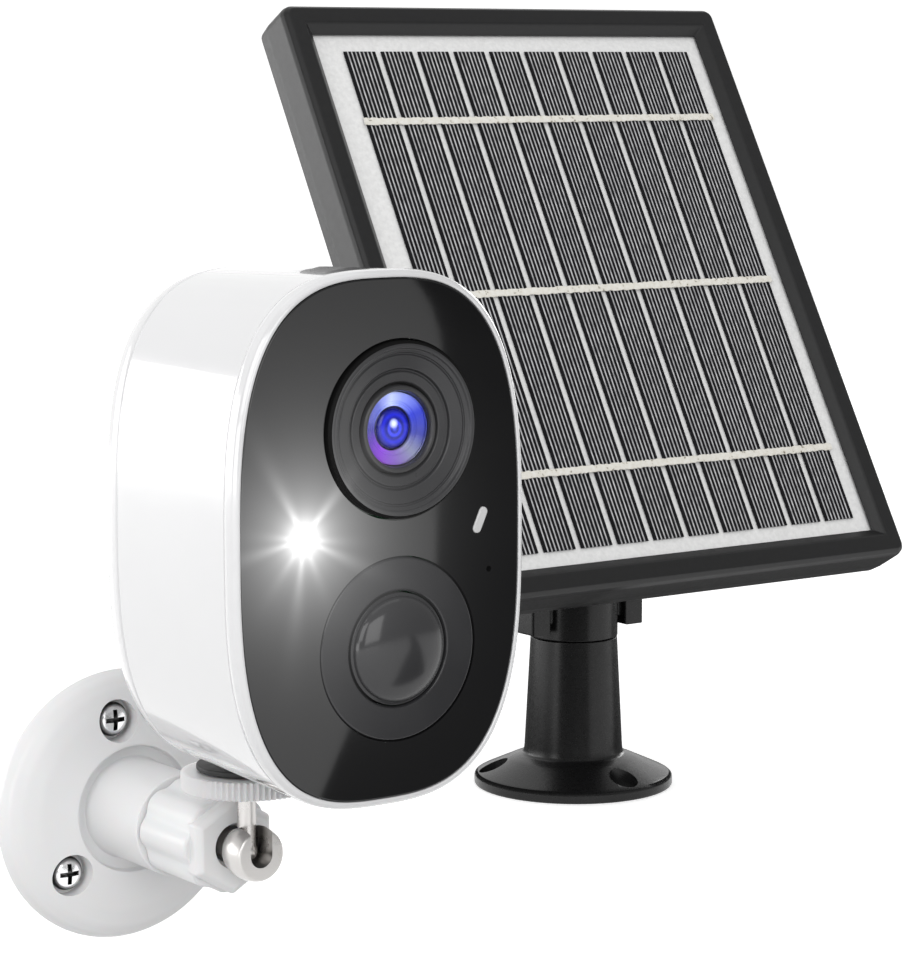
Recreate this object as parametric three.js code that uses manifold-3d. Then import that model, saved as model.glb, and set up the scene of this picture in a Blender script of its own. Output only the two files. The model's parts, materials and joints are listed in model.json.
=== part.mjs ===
// Solar-powered security camera: a camera on a wall bracket, and a solar panel on a tilting stand.
// Units are millimetres. +X is to the camera's right-hand side as seen from in front, +Y points back
// into the wall, +Z is up. The origin is the centre of the wall plate's back face.

import * as THREE from 'three';
import { mergeVertices } from 'three/addons/utils/BufferGeometryUtils.js';
import Module from 'manifold-3d';

const wasm = await Module();
wasm.setup();

// ---------------------------------------------------------------- driving dimensions

const GAP = 0.3; // clearance between neighbouring pieces

const FACE_Y = -96; // the camera's front face, ahead of the wall
const FACE_Z = 65.5; // the camera's middle, above the bracket's arm
const STUD_Y = -49.4; // the upright stud, ahead of the wall

const BODY_HALF_WIDTH = 31.2;
const BODY_HALF_HEIGHT = 48;
const BODY_SQUARENESS = 2.9; // exponent of the superellipse outline
const BODY_STEPS = 36;
const SHELL_WALL = 2.2;
const HOUSING_FRONT = 3.7; // depths behind the front face
const HOUSING_REAR = 42.3;
const FRONT_INSET = 0.2; // the shell narrows from front to rear by its draft
const REAR_INSET = 1.5;
const COVER_INSET = 1.7;
const COVER_THICKNESS = 2.4;

const LENS_X = 3.6;
const LENS_Z = 19.6;
const LENS_HOLE_RADIUS = 16.2;
const PIR_X = 3.1;
const PIR_Z = -19.7;
const PIR_RING_RADIUS = 16.6;
const PIR_DOME_RADIUS = 10.1;
const SPOT_X = -16.8;
const SPOT_Z = 1.7;
const SPOT_RADIUS = 2.7;
const STATUS_X = 21.1;
const STATUS_Z = 2;
const STATUS_LENGTH = 5;
const STATUS_WIDTH = 1.8;
const STATUS_LEAN = THREE.MathUtils.degToRad(25);
const MIC_X = 23;
const MIC_Z = -7.1;
const MIC_RADIUS = 0.6;

const CELL_RADIUS = 9.1; // rechargeable cells, 18 mm size
const CELL_LENGTH = 65;
const CASE_SCREW_X = 21.5;
const CASE_SCREW_Z = 31;
const CASE_SCREW_RADIUS = 1.5;
const CASE_HEAD_RADIUS = 2.4;

const PORT_Y = 29; // charging socket under the body, behind the front face
const BUTTON_Y = 23.8;
const BUTTON_RADIUS = 1.7;
const FLAP_FRONT = 20;
const FLAP_REAR = 32.2;
const FLAP_HALF_WIDTH = 6.5;
const FLAP_TOP = -47.6;
const FLAP_THICKNESS = 2.3;

const STUD_RADIUS = 1.8;
const STUD_BALL_RADIUS = 2.1;
const STUD_TOP = 24.5;
const BALL_RADIUS = 5.2;
const BALL_FACE = -54.7;
const SLOT_RADIUS = 2.4;
const STEM_RADIUS = 3;
const WHEEL_RADIUS = 12.5;
const WHEEL_BOTTOM = 12.2;
const WHEEL_HEIGHT = 3.6;
const WHEEL_RIBS = 36;
const PAD_RADIUS = 9.5;
const PAD_HEIGHT = 1.1;
const BOSS_RADIUS = 5.4;
const BOSS_BOTTOM = -48; // below the camera's middle
const INSERT_RADIUS = 2.9;

const PLATE_RADIUS = 27.7;
const NECK_RADIUS = 10.2;
const NECK_END = -25;
const THREAD_RADIUS = 8.3;
const THREAD_END = -40;
const WALL_SCREW_CIRCLE = 18.5;
const WALL_SCREW_ANGLES = [100, 220, 340];
const WALL_SCREW_RADIUS = 1.7;
const WALL_HEAD_RADIUS = 3.5;
const NUT_RADIUS = 9.8;
const NUT_LOBES = 8;
const NUT_FRONT = -45.4;

const PANEL_X = 171.1;
const PANEL_Y = 60.7;
const PANEL_Z = 94.2;
const PANEL_TILT = THREE.MathUtils.degToRad(30); // leans back from upright
const WINDOW_WIDTH = 120;
const WINDOW_HEIGHT = 141.6;
const FRAME_BORDER = 7.5;
const FRAME_WALL = 2.8;
const FRAME_FRONT = -2.2;
const FRAME_BACK = 10.8;
const STRIPS = 10;
const STRIP_GAP = 1.7;
const MARGIN_LEFT = 7.8;
const MARGIN_RIGHT = 4.2;
const MARGIN_TOP = 4.4;
const MARGIN_BOTTOM = 3.9;
const BUSBARS = 3;
const BUSBAR_WIDTH = 2;
const BUSBAR_PITCH = 0.354; // of the strips' length

const FOOT_Y = 69.3; // the stand's axis behind the wall plate's back face
const FOOT_BOTTOM = -31.7;
const FOOT_RADIUS = 25;
const POLE_RADIUS = 12.4;
const POLE_TOP_RADIUS = 10.9;
const POLE_TOP = 6;
const FOOT_HOLE_RADIUS = 3.6;
const FOOT_HOLE_CIRCLE = 20.3;
const FOOT_HOLE_ANGLES = [-90, 30, 150];
const FORK_RADIUS = 11;
const FORK_BARREL_TOP = 24;
const FORK_GAP = 23.4;
const FORK_ARM = 5.8;
const FORK_DEPTH = 12;
const FORK_ARM_BOTTOM = 8.3;
const PIVOT_STANDOFF = 18; // the pivot, behind the panel's back
const PIVOT_RADIUS = 2.5;
const LUG_WIDTH = 22.6;
const KNOB_RADIUS = 9;

// ---------------------------------------------------------------- geometry helpers

const vec = (x, y) => new THREE.Vector2(x, y);

// Merged, free of flat triangles and with its faces pointing out.
function closed(geometry) {
  geometry.deleteAttribute('normal');
  geometry.deleteAttribute('uv');
  const merged = mergeVertices(geometry, 1e-4);
  const index = Array.from(merged.index.array);
  const place = merged.attributes.position;
  const corner = [new THREE.Vector3(), new THREE.Vector3(), new THREE.Vector3()];
  const kept = [];
  let volume = 0;
  for (let i = 0; i < index.length; i += 3) {
    const [a, b, c] = index.slice(i, i + 3);
    if (a !== b && b !== c && c !== a) {
      kept.push(a, b, c);
      [a, b, c].forEach((vertex, k) => corner[k].fromBufferAttribute(place, vertex));
      volume += corner[0].dot(corner[1].clone().cross(corner[2]));
    }
  }
  if (volume < 0) {
    kept.reverse();
  }
  merged.setIndex(kept);
  return merged;
}

function solid(geometry) {
  const shape = closed(geometry);
  return new wasm.Manifold(new wasm.Mesh({
    numProp: 3,
    vertProperties: new Float32Array(shape.attributes.position.array),
    triVerts: new Uint32Array(shape.index.array),
  }));
}

function fromSolid(body) {
  const mesh = body.getMesh();
  const geometry = new THREE.BufferGeometry();
  geometry.setAttribute('position', new THREE.BufferAttribute(mesh.vertProperties, 3));
  geometry.setIndex(new THREE.BufferAttribute(mesh.triVerts, 1));
  return geometry;
}

// The first geometry with the others cut out of it.
function cut(base, ...tools) {
  return fromSolid(tools.reduce((body, tool) => body.subtract(solid(tool)), solid(base)));
}

function join(base, ...others) {
  return fromSolid(others.reduce((body, other) => body.add(solid(other)), solid(base)));
}

function box(x0, x1, y0, y1, z0, z1) {
  const geometry = new THREE.BoxGeometry(x1 - x0, y1 - y0, z1 - z0);
  return geometry.translate((x0 + x1) / 2, (y0 + y1) / 2, (z0 + z1) / 2);
}

// A turned body; each profile point is [radius, distance along the axis].
function turnedY(profile, x = 0, z = 0, sides = 24) {
  const geometry = new THREE.LatheGeometry(profile.map(([r, y]) => vec(r, y)), sides);
  return geometry.translate(x, 0, z);
}

function turnedZ(profile, x = 0, y = 0, sides = 24) {
  const geometry = new THREE.LatheGeometry(profile.map(([r, z]) => vec(r, z)), sides);
  return geometry.rotateX(Math.PI / 2).translate(x, y, 0);
}

function rodX(radius, x0, x1, y, z, sides = 16) {
  const geometry = new THREE.CylinderGeometry(radius, radius, x1 - x0, sides);
  return geometry.rotateZ(Math.PI / 2).translate((x0 + x1) / 2, y, z);
}

function rodY(radius, y0, y1, x, z, sides = 16) {
  return new THREE.CylinderGeometry(radius, radius, y1 - y0, sides).translate(x, (y0 + y1) / 2, z);
}

function rodZ(radius, z0, z1, x, y, sides = 16) {
  const geometry = new THREE.CylinderGeometry(radius, radius, z1 - z0, sides);
  return geometry.rotateX(Math.PI / 2).translate(x, y, (z0 + z1) / 2);
}

// A flat outline in X and Z, extruded along Y.
function slabY(outline, y0, y1, holes = []) {
  const shape = new THREE.Shape(outline);
  shape.holes = holes.map((points) => new THREE.Path(points));
  const geometry = new THREE.ExtrudeGeometry(shape, { depth: y1 - y0, bevelEnabled: false });
  return geometry.rotateX(Math.PI / 2).translate(0, y1, 0);
}

// A flat outline in Y and Z, extruded along X.
function slabX(outline, x0, x1) {
  const geometry = new THREE.ExtrudeGeometry(new THREE.Shape(outline), { depth: x1 - x0, bevelEnabled: false });
  const turn = new THREE.Matrix4().makeBasis(
    new THREE.Vector3(0, 1, 0),
    new THREE.Vector3(0, 0, 1),
    new THREE.Vector3(1, 0, 0),
  );
  return geometry.applyMatrix4(turn).translate(x0, 0, 0);
}

// A flat outline in X and Y, extruded along Z.
function slabZ(outline, z0, z1, holes = []) {
  const shape = new THREE.Shape(outline);
  shape.holes = holes.map((points) => new THREE.Path(points));
  const geometry = new THREE.ExtrudeGeometry(shape, { depth: z1 - z0, bevelEnabled: false });
  return geometry.translate(0, 0, z0);
}

function circle(radius, x, z, sides) {
  const points = [];
  for (let i = 0; i < sides; i += 1) {
    const angle = (2 * Math.PI * i) / sides;
    points.push(vec(x + radius * Math.cos(angle), z + radius * Math.sin(angle)));
  }
  return points;
}

// A circle whose radius swells and dips evenly around it.
function lobedCircle(radius, depth, lobes, stepsPerLobe) {
  const points = [];
  const count = lobes * stepsPerLobe;
  for (let i = 0; i < count; i += 1) {
    const angle = (2 * Math.PI * i) / count;
    const reach = radius - (depth / 2) * (1 - Math.cos(lobes * angle));
    points.push(vec(reach * Math.cos(angle), reach * Math.sin(angle)));
  }
  return points;
}

// A straight slot with round ends, leaning to the right by lean.
function pill(x, z, length, width, lean, stepsPerEnd) {
  const points = [];
  const reach = (length - width) / 2;
  for (let i = 0; i <= 2 * stepsPerEnd + 1; i += 1) {
    const end = i <= stepsPerEnd ? 1 : -1;
    const step = i <= stepsPerEnd ? i : i - stepsPerEnd - 1;
    const angle = (Math.PI * step) / stepsPerEnd + (end < 0 ? Math.PI : 0);
    const across = (width / 2) * Math.cos(angle);
    const up = (width / 2) * Math.sin(angle) + end * reach;
    points.push(vec(
      x + across * Math.cos(lean) + up * Math.sin(lean),
      z - across * Math.sin(lean) + up * Math.cos(lean),
    ));
  }
  return points;
}

// The camera body's outline, set in from its widest by inset.
function bodyOutline(inset) {
  const points = [];
  const power = 2 / BODY_SQUARENESS;
  for (let i = 0; i < BODY_STEPS; i += 1) {
    const angle = (2 * Math.PI * i) / BODY_STEPS;
    const across = Math.sign(Math.cos(angle)) * Math.abs(Math.cos(angle)) ** power;
    const up = Math.sign(Math.sin(angle)) * Math.abs(Math.sin(angle)) ** power;
    points.push(vec((BODY_HALF_WIDTH - inset) * across, (BODY_HALF_HEIGHT - inset) * up));
  }
  return points;
}

// The panel frame's outline: a rectangle with round corners, set in by inset.
function panelOutline(inset) {
  const halfWidth = WINDOW_WIDTH / 2 + FRAME_BORDER - inset;
  const halfHeight = WINDOW_HEIGHT / 2 + FRAME_BORDER - inset;
  const radius = Math.max(3 - inset, 0.5);
  const steps = 3;
  const points = [];
  for (let corner = 0; corner < 4; corner += 1) {
    const right = corner === 0 || corner === 3 ? 1 : -1;
    const top = corner < 2 ? 1 : -1;
    for (let i = 0; i <= steps; i += 1) {
      const angle = (Math.PI / 2) * (corner + i / steps);
      points.push(vec(
        right * (halfWidth - radius) + radius * Math.cos(angle),
        top * (halfHeight - radius) + radius * Math.sin(angle),
      ));
    }
  }
  return points;
}

// A body of stacked outlines; each station is [inset, y]. A ring closes on itself, and any other
// body gets a flat cap at each end.
function loft(outline, stations, isRing) {
  const rings = stations.map(([inset, y]) => outline(inset).map((p) => [p.x, y, p.y]));
  const count = rings[0].length;
  const places = rings.flat(2);
  const index = [];
  const bands = isRing ? rings.length : rings.length - 1;
  for (let band = 0; band < bands; band += 1) {
    const near = band * count;
    const far = ((band + 1) % rings.length) * count;
    for (let i = 0; i < count; i += 1) {
      const j = (i + 1) % count;
      index.push(near + i, near + j, far + i, near + j, far + j, far + i);
    }
  }
  if (!isRing) {
    const middle = rings.length * count;
    const last = middle - count;
    places.push(0, stations[0][1], 0, 0, stations[stations.length - 1][1], 0);
    for (let i = 0; i < count; i += 1) {
      const j = (i + 1) % count;
      index.push(middle, j, i, middle + 1, last + i, last + j);
    }
  }
  const geometry = new THREE.BufferGeometry();
  geometry.setAttribute('position', new THREE.Float32BufferAttribute(places, 3));
  geometry.setIndex(index);
  return geometry;
}

// ---------------------------------------------------------------- finishes

const finishes = {
  whiteShell: { color: 0xf2f2f3, roughness: 0.25, metalness: 0 },
  blackGloss: { color: 0x141416, roughness: 0.08, metalness: 0 },
  darkPlastic: { color: 0x2c2c2e, roughness: 0.4, metalness: 0 },
  pirPlastic: { color: 0x37383b, roughness: 0.35, metalness: 0 },
  lensGlass: { color: 0x3a3ad0, roughness: 0.02, metalness: 0.1 },
  clearPlastic: { color: 0xf4f6ff, roughness: 0.1, metalness: 0 },
  greyPlastic: { color: 0xb9babc, roughness: 0.4, metalness: 0 },
  greyRubber: { color: 0x8c8c8e, roughness: 0.7, metalness: 0 },
  blackRubber: { color: 0x161616, roughness: 0.8, metalness: 0 },
  circuitBoard: { color: 0x1d5a34, roughness: 0.5, metalness: 0 },
  cellWrap: { color: 0x2f6fae, roughness: 0.35, metalness: 0 },
  chrome: { color: 0xd8d8da, roughness: 0.12, metalness: 1 },
  steel: { color: 0xb8b5b2, roughness: 0.3, metalness: 1 },
  brass: { color: 0xc09a4c, roughness: 0.3, metalness: 1 },
  whitePlastic: { color: 0xe9e9ea, roughness: 0.4, metalness: 0 },
  blackSatin: { color: 0x303032, roughness: 0.45, metalness: 0 },
  frameBlack: { color: 0x363637, roughness: 0.5, metalness: 0 },
  whiteSheet: { color: 0xe6e6e4, roughness: 0.55, metalness: 0 },
  solarCell: { color: 0x1c1e24, roughness: 0.3, metalness: 0.2 },
  solder: { color: 0xe8e4d8, roughness: 0.5, metalness: 0.3 },
};

const assembly = new THREE.Group();
const camera = new THREE.Group();
camera.position.set(0, FACE_Y, FACE_Z);
const panel = new THREE.Group();
panel.position.set(PANEL_X, PANEL_Y, PANEL_Z);
panel.rotation.x = -PANEL_TILT;
const stand = new THREE.Group();
stand.position.set(PANEL_X, FOOT_Y, 0);
assembly.add(camera, panel, stand);

function add(parent, name, geometry, finish) {
  const mesh = new THREE.Mesh(closed(geometry), new THREE.MeshStandardMaterial(finishes[finish]));
  mesh.name = name;
  parent.add(mesh);
  return mesh;
}

// ---------------------------------------------------------------- camera: casing

function housingInset(y) {
  const along = (y - HOUSING_FRONT) / (HOUSING_REAR - HOUSING_FRONT);
  return FRONT_INSET + (REAR_INSET - FRONT_INSET) * along;
}

function caseScrewPlaces() {
  return [[1, 1], [-1, 1], [-1, -1], [1, -1]].map(([right, up]) => [right * CASE_SCREW_X, up * CASE_SCREW_Z]);
}

function frontBezel() {
  const inner = COVER_INSET - GAP;
  return loft(bodyOutline, [
    [0.2, HOUSING_FRONT - GAP],
    [0, 2],
    [0.15, 0.8],
    [0.6, 0.1],
    [1, -0.1],
    [inner, 0.1],
    [inner, HOUSING_FRONT - GAP],
  ], true);
}

function frontCover() {
  const holes = [
    circle(LENS_HOLE_RADIUS, LENS_X, LENS_Z, 28),
    circle(PIR_RING_RADIUS + GAP, PIR_X, PIR_Z, 28),
    circle(SPOT_RADIUS + GAP, SPOT_X, SPOT_Z, 12),
    pill(STATUS_X, STATUS_Z, STATUS_LENGTH + 2 * GAP, STATUS_WIDTH + 2 * GAP, STATUS_LEAN, 5),
    circle(MIC_RADIUS, MIC_X, MIC_Z, 8),
  ];
  return slabY(bodyOutline(COVER_INSET), 0, COVER_THICKNESS, holes);
}

// The side shell, with a post for each case screw, the port's opening and the button's hole.
function mainHousing() {
  const sealLand = 1; // wall left outside the seal
  const sealDepth = 1.3;
  const rebate = HOUSING_REAR - sealDepth;
  const shell = loft(bodyOutline, [
    [FRONT_INSET, HOUSING_FRONT],
    [housingInset(20), 20],
    [REAR_INSET, HOUSING_REAR],
    [REAR_INSET + sealLand, HOUSING_REAR],
    [REAR_INSET + sealLand, rebate],
    [REAR_INSET + SHELL_WALL, rebate],
    [housingInset(20) + SHELL_WALL, 20],
    [FRONT_INSET + SHELL_WALL, HOUSING_FRONT],
  ], true);
  const posts = caseScrewPlaces().map(([x, z]) => rodY(2.6, 26, rebate, x, z, 10));
  const bores = caseScrewPlaces().map(([x, z]) => rodY(CASE_SCREW_RADIUS + GAP, 25, rebate + 1, x, z, 10));
  const portOpening = box(-4.8, 4.8, PORT_Y - 2.2, PORT_Y + 2.2, -50, -43);
  const buttonHole = rodZ(BUTTON_RADIUS + GAP, -50, -43, 0, BUTTON_Y, 12);
  return cut(join(shell, ...posts), ...bores, portOpening, buttonHole);
}

// The rear shell, with the boss that takes the stud's insert and the counterbored screw holes.
function rearCover() {
  const start = HOUSING_REAR + GAP;
  const shell = loft(bodyOutline, [
    [8, 49.2],
    [5.6, 48],
    [4.2, 46],
    [REAR_INSET + SHELL_WALL, start],
    [REAR_INSET, start],
    [1.7, 45],
    [2.6, 47.8],
    [4.6, 50],
    [8, 51.2],
  ], false);
  const posts = caseScrewPlaces().map(([x, z]) => rodY(3.4, start + 0.2, 49, x, z, 10));
  const bores = caseScrewPlaces().map(([x, z]) => rodY(CASE_SCREW_RADIUS + GAP, start - 1, 52, x, z, 10));
  const recesses = caseScrewPlaces().map(([x, z]) => rodY(CASE_HEAD_RADIUS + GAP, 47.9, 54, x, z, 12));
  const bossY = STUD_Y - FACE_Y;
  const boss = solid(rodZ(BOSS_RADIUS, BOSS_BOTTOM, -38, 0, bossY, 18))
    .intersect(solid(box(-8, 8, start + 0.1, 54, -50, -37)));
  const bore = rodZ(INSERT_RADIUS + GAP, BOSS_BOTTOM - 1, -37, 0, bossY, 14);
  return cut(join(shell, ...posts, fromSolid(boss)), ...bores, ...recesses, bore);
}

function housingSeal() {
  return loft(bodyOutline, [
    [REAR_INSET + 1.3, 41.3],
    [REAR_INSET + SHELL_WALL, 41.3],
    [REAR_INSET + SHELL_WALL, HOUSING_REAR],
    [REAR_INSET + 1.3, HOUSING_REAR],
  ], true);
}

function caseScrew(x, z) {
  return turnedY([
    [0, 30],
    [CASE_SCREW_RADIUS, 30.6],
    [CASE_SCREW_RADIUS, 48.2],
    [CASE_HEAD_RADIUS, 48.2],
    [CASE_HEAD_RADIUS, 49.2],
    [1.6, 49.8],
    [0, 49.8],
  ], x, z, 8);
}

add(camera, 'front_bezel', frontBezel(), 'whiteShell');
add(camera, 'front_cover', frontCover(), 'blackGloss');
add(camera, 'main_housing', mainHousing(), 'whiteShell');
add(camera, 'rear_cover', rearCover(), 'whiteShell');
add(camera, 'housing_seal', housingSeal(), 'blackRubber');
caseScrewPlaces().forEach(([x, z], i) => add(camera, `case_screw_${i + 1}`, caseScrew(x, z), 'chrome'));

// ---------------------------------------------------------------- camera: optics and sensors

// A shallow stepped funnel around the lens, with a rim that stands proud of the face.
function lensHood() {
  return turnedY([
    [15.8, -0.6],
    [15.2, -1.3],
    [14.5, -1.3],
    [14.1, -0.7],
    [13.3, -0.7],
    [13, -0.2],
    [10.9, 0.1],
    [10.4, 0.6],
    [8.2, 0.6],
    [8.2, 9],
    [15.8, 9],
    [15.8, -0.6],
  ], LENS_X, LENS_Z, 28);
}

function lensBarrel() {
  return turnedY([
    [7.9, 0.3],
    [7.3, -0.1],
    [6.8, 0.3],
    [6.8, 3.2],
    [4.2, 3.2],
    [4.2, 16],
    [7.9, 16],
    [7.9, 0.3],
  ], LENS_X, LENS_Z, 20);
}

function lensGlass() {
  return turnedY([
    [0, -0.1],
    [2.4, 0.1],
    [4.6, 0.5],
    [6.4, 1.1],
    [6.4, 1.9],
    [0, 1.9],
  ], LENS_X, LENS_Z, 20);
}

function lensInnerElement() {
  return turnedY([
    [0, 2.3],
    [2, 2.5],
    [3.8, 3.1],
    [3.8, 4.8],
    [0, 4.8],
  ], LENS_X, LENS_Z, 14);
}

function pirRing() {
  const inner = PIR_DOME_RADIUS + GAP;
  return turnedY([
    [PIR_RING_RADIUS, 0.2],
    [PIR_RING_RADIUS - 0.4, 0],
    [inner + 0.4, 0],
    [inner, 0.3],
    [inner, 3],
    [PIR_RING_RADIUS, 3],
    [PIR_RING_RADIUS, 0.2],
  ], PIR_X, PIR_Z, 28);
}

// The domed lens over the motion sensor, open at its back.
function pirDome() {
  const rise = 3.4;
  const outer = [];
  const inner = [];
  const steps = 4;
  for (let i = 0; i <= steps; i += 1) {
    const angle = (Math.PI / 2) * (i / steps);
    outer.push([PIR_DOME_RADIUS * Math.sin(angle), 0.2 - rise * Math.cos(angle)]);
    inner.unshift([(PIR_DOME_RADIUS - 0.9) * Math.sin(angle), 0.4 - (rise - 0.7) * Math.cos(angle)]);
  }
  return turnedY([...outer, [PIR_DOME_RADIUS, 2.8], [PIR_DOME_RADIUS - 0.9, 2.8], ...inner], PIR_X, PIR_Z, 20);
}

function pirSensor() {
  return turnedY([[0, 6], [4.1, 6], [4.1, 9.6], [4.7, 9.6], [4.7, 10.1], [0, 10.1]], PIR_X, PIR_Z, 12);
}

// A light pipe with a domed front over the spotlight's LED.
function spotlightLens() {
  return turnedY([
    [0, -0.6],
    [1.5, -0.3],
    [SPOT_RADIUS, 0.4],
    [SPOT_RADIUS, 3],
    [1.9, 3.4],
    [1.9, 8.6],
    [0, 8.6],
  ], SPOT_X, SPOT_Z, 12);
}

add(camera, 'lens_hood', lensHood(), 'darkPlastic');
add(camera, 'lens_barrel', lensBarrel(), 'darkPlastic');
add(camera, 'lens_glass', lensGlass(), 'lensGlass');
add(camera, 'lens_inner_element', lensInnerElement(), 'lensGlass');
add(camera, 'image_sensor', box(LENS_X - 4, LENS_X + 4, 16.9, 18.1, LENS_Z - 3.5, LENS_Z + 3.5), 'darkPlastic');
add(camera, 'sensor_board', box(LENS_X - 13, LENS_X + 13, 18.4, 19.6, LENS_Z - 13, LENS_Z + 13), 'circuitBoard');
add(camera, 'pir_ring', pirRing(), 'pirPlastic');
add(camera, 'pir_dome', pirDome(), 'pirPlastic');
add(camera, 'pir_sensor', pirSensor(), 'steel');
add(camera, 'spotlight_lens', spotlightLens(), 'clearPlastic');
add(camera, 'spotlight_led', box(SPOT_X - 1.8, SPOT_X + 1.8, 9, 10.1, SPOT_Z - 1.8, SPOT_Z + 1.8), 'clearPlastic');
add(
  camera,
  'status_window',
  slabY(pill(STATUS_X, STATUS_Z, STATUS_LENGTH, STATUS_WIDTH, STATUS_LEAN, 5), -0.1, 3),
  'greyPlastic',
);

// ---------------------------------------------------------------- camera: electronics and power

add(camera, 'front_board', box(-22, 22, 10.4, 11.8, -30, 3.4), 'circuitBoard');
add(camera, 'main_board', box(-21, 21, 21.4, 23, -32, 33), 'circuitBoard');

function batteryCell(x) {
  const bottom = -26;
  const top = bottom + CELL_LENGTH;
  return turnedZ([
    [0, bottom],
    [CELL_RADIUS, bottom],
    [CELL_RADIUS, top - 1.6],
    [3, top - 1.6],
    [3, top],
    [0, top],
  ], x, 33.5, 16);
}

function speaker() {
  return turnedY([[0, 36.4], [6.2, 36.4], [7.5, 37.2], [7.5, 39], [4, 40.6], [0, 40.6]], 0, -35.5, 16);
}

add(camera, 'battery_left', batteryCell(-(CELL_RADIUS + GAP)), 'cellWrap');
add(camera, 'battery_right', batteryCell(CELL_RADIUS + GAP), 'cellWrap');
add(camera, 'speaker', speaker(), 'blackSatin');
add(
  camera,
  'usb_socket',
  cut(
    box(-4.4, 4.4, PORT_Y - 1.6, PORT_Y + 1.6, -45.2, -38),
    box(-3.9, 3.9, PORT_Y - 1.1, PORT_Y + 1.1, -46, -39),
  ),
  'steel',
);
add(camera, 'power_button', rodZ(BUTTON_RADIUS, -46.9, -44.2, 0, BUTTON_Y, 12), 'greyRubber');

// The flap that seals the port: a plate with a plug that enters the port's opening.
function portCover() {
  const bottom = FLAP_TOP - FLAP_THICKNESS;
  const middle = (FLAP_FRONT + FLAP_REAR) / 2;
  const length = FLAP_REAR - FLAP_FRONT;
  const outline = pill(0, middle, length, 2 * FLAP_HALF_WIDTH - 1.4, 0, 6);
  const plate = slabZ(outline, bottom, FLAP_TOP);
  return join(plate, box(-4, 4, PORT_Y - 1.3, PORT_Y + 1.3, bottom + 1, -45.6));
}

add(camera, 'port_cover', portCover(), 'greyRubber');

// ---------------------------------------------------------------- camera: mount on the stud

const bossBottom = FACE_Z + BOSS_BOTTOM;

function mountInsert() {
  return turnedZ([
    [STUD_RADIUS + GAP, bossBottom + 0.2],
    [INSERT_RADIUS, bossBottom + 0.2],
    [INSERT_RADIUS, bossBottom + 8],
    [STUD_RADIUS + GAP, bossBottom + 8],
    [STUD_RADIUS + GAP, bossBottom + 0.2],
  ], 0, STUD_Y, 12);
}

function mountPad() {
  const top = bossBottom - GAP;
  return turnedZ([
    [STUD_RADIUS + 1, top - PAD_HEIGHT],
    [PAD_RADIUS, top - PAD_HEIGHT],
    [PAD_RADIUS, top],
    [STUD_RADIUS + 1, top],
    [STUD_RADIUS + 1, top - PAD_HEIGHT],
  ], 0, STUD_Y, 20);
}

add(assembly, 'mount_insert', mountInsert(), 'brass');
add(assembly, 'mount_pad', mountPad(), 'blackRubber');

// ---------------------------------------------------------------- bracket

function wallScrewPlaces() {
  return WALL_SCREW_ANGLES.map((degrees) => {
    const angle = THREE.MathUtils.degToRad(degrees);
    return [WALL_SCREW_CIRCLE * Math.cos(angle), WALL_SCREW_CIRCLE * Math.sin(angle)];
  });
}

// The round plate, its hollow ring, the neck and the threaded end that holds the ball head's stem.
function wallPlate() {
  const body = turnedY([
    [0, 0],
    [PLATE_RADIUS, 0],
    [PLATE_RADIUS, -1.6],
    [26.8, -3.6],
    [24.8, -5.2],
    [21, -6.3],
    [13.6, -7.2],
    [12.1, -7.2],
    [11.8, -5.2],
    [10.5, -5.2],
    [NECK_RADIUS, NECK_END],
    [THREAD_RADIUS, NECK_END],
    [THREAD_RADIUS, THREAD_END],
    [0, THREAD_END],
  ], 0, 0, 36);
  const stemBore = rodY(STEM_RADIUS + GAP, -41, -29, 0, 0, 14);
  const bores = wallScrewPlaces().map(([x, z]) => rodY(WALL_SCREW_RADIUS + GAP, -9, 1, x, z, 10));
  const recesses = wallScrewPlaces().map(([x, z]) => rodY(WALL_HEAD_RADIUS + 0.8, -9, -2.6, x, z, 16));
  return cut(body, stemBore, ...bores, ...recesses);
}

// A pan-head screw with a cross recess.
function wallScrew(x, z) {
  const head = turnedY([
    [0, -0.4],
    [WALL_SCREW_RADIUS, -0.4],
    [WALL_SCREW_RADIUS, -2.9],
    [WALL_HEAD_RADIUS, -2.9],
    [WALL_HEAD_RADIUS, -4.1],
    [2.8, -5],
    [0, -5.4],
  ], x, z, 14);
  const slotAcross = box(x - 2.2, x + 2.2, -6, -4, z - 0.5, z + 0.5);
  const slotUp = box(x - 0.5, x + 0.5, -6, -4, z - 2.2, z + 2.2);
  return cut(head, slotAcross, slotUp);
}

// The clamping nut: a lobed grip that ends in a hexagon, open for the stem at its front.
function lockNut() {
  const grip = slabY(lobedCircle(NUT_RADIUS, 0.7, NUT_LOBES, 4), -42.4, NECK_END - GAP);
  const hexagon = slabY(circle(NUT_RADIUS - 0.5, 0, 0, 6), NUT_FRONT, -41.8);
  const bore = turnedY([
    [0, -47],
    [5.2, -47],
    [3.7, -43.6],
    [3.7, -41.2],
    [THREAD_RADIUS + GAP, -41.2],
    [THREAD_RADIUS + GAP, -24],
    [0, -24],
  ], 0, 0, 20);
  return cut(join(grip, hexagon), bore);
}

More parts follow.
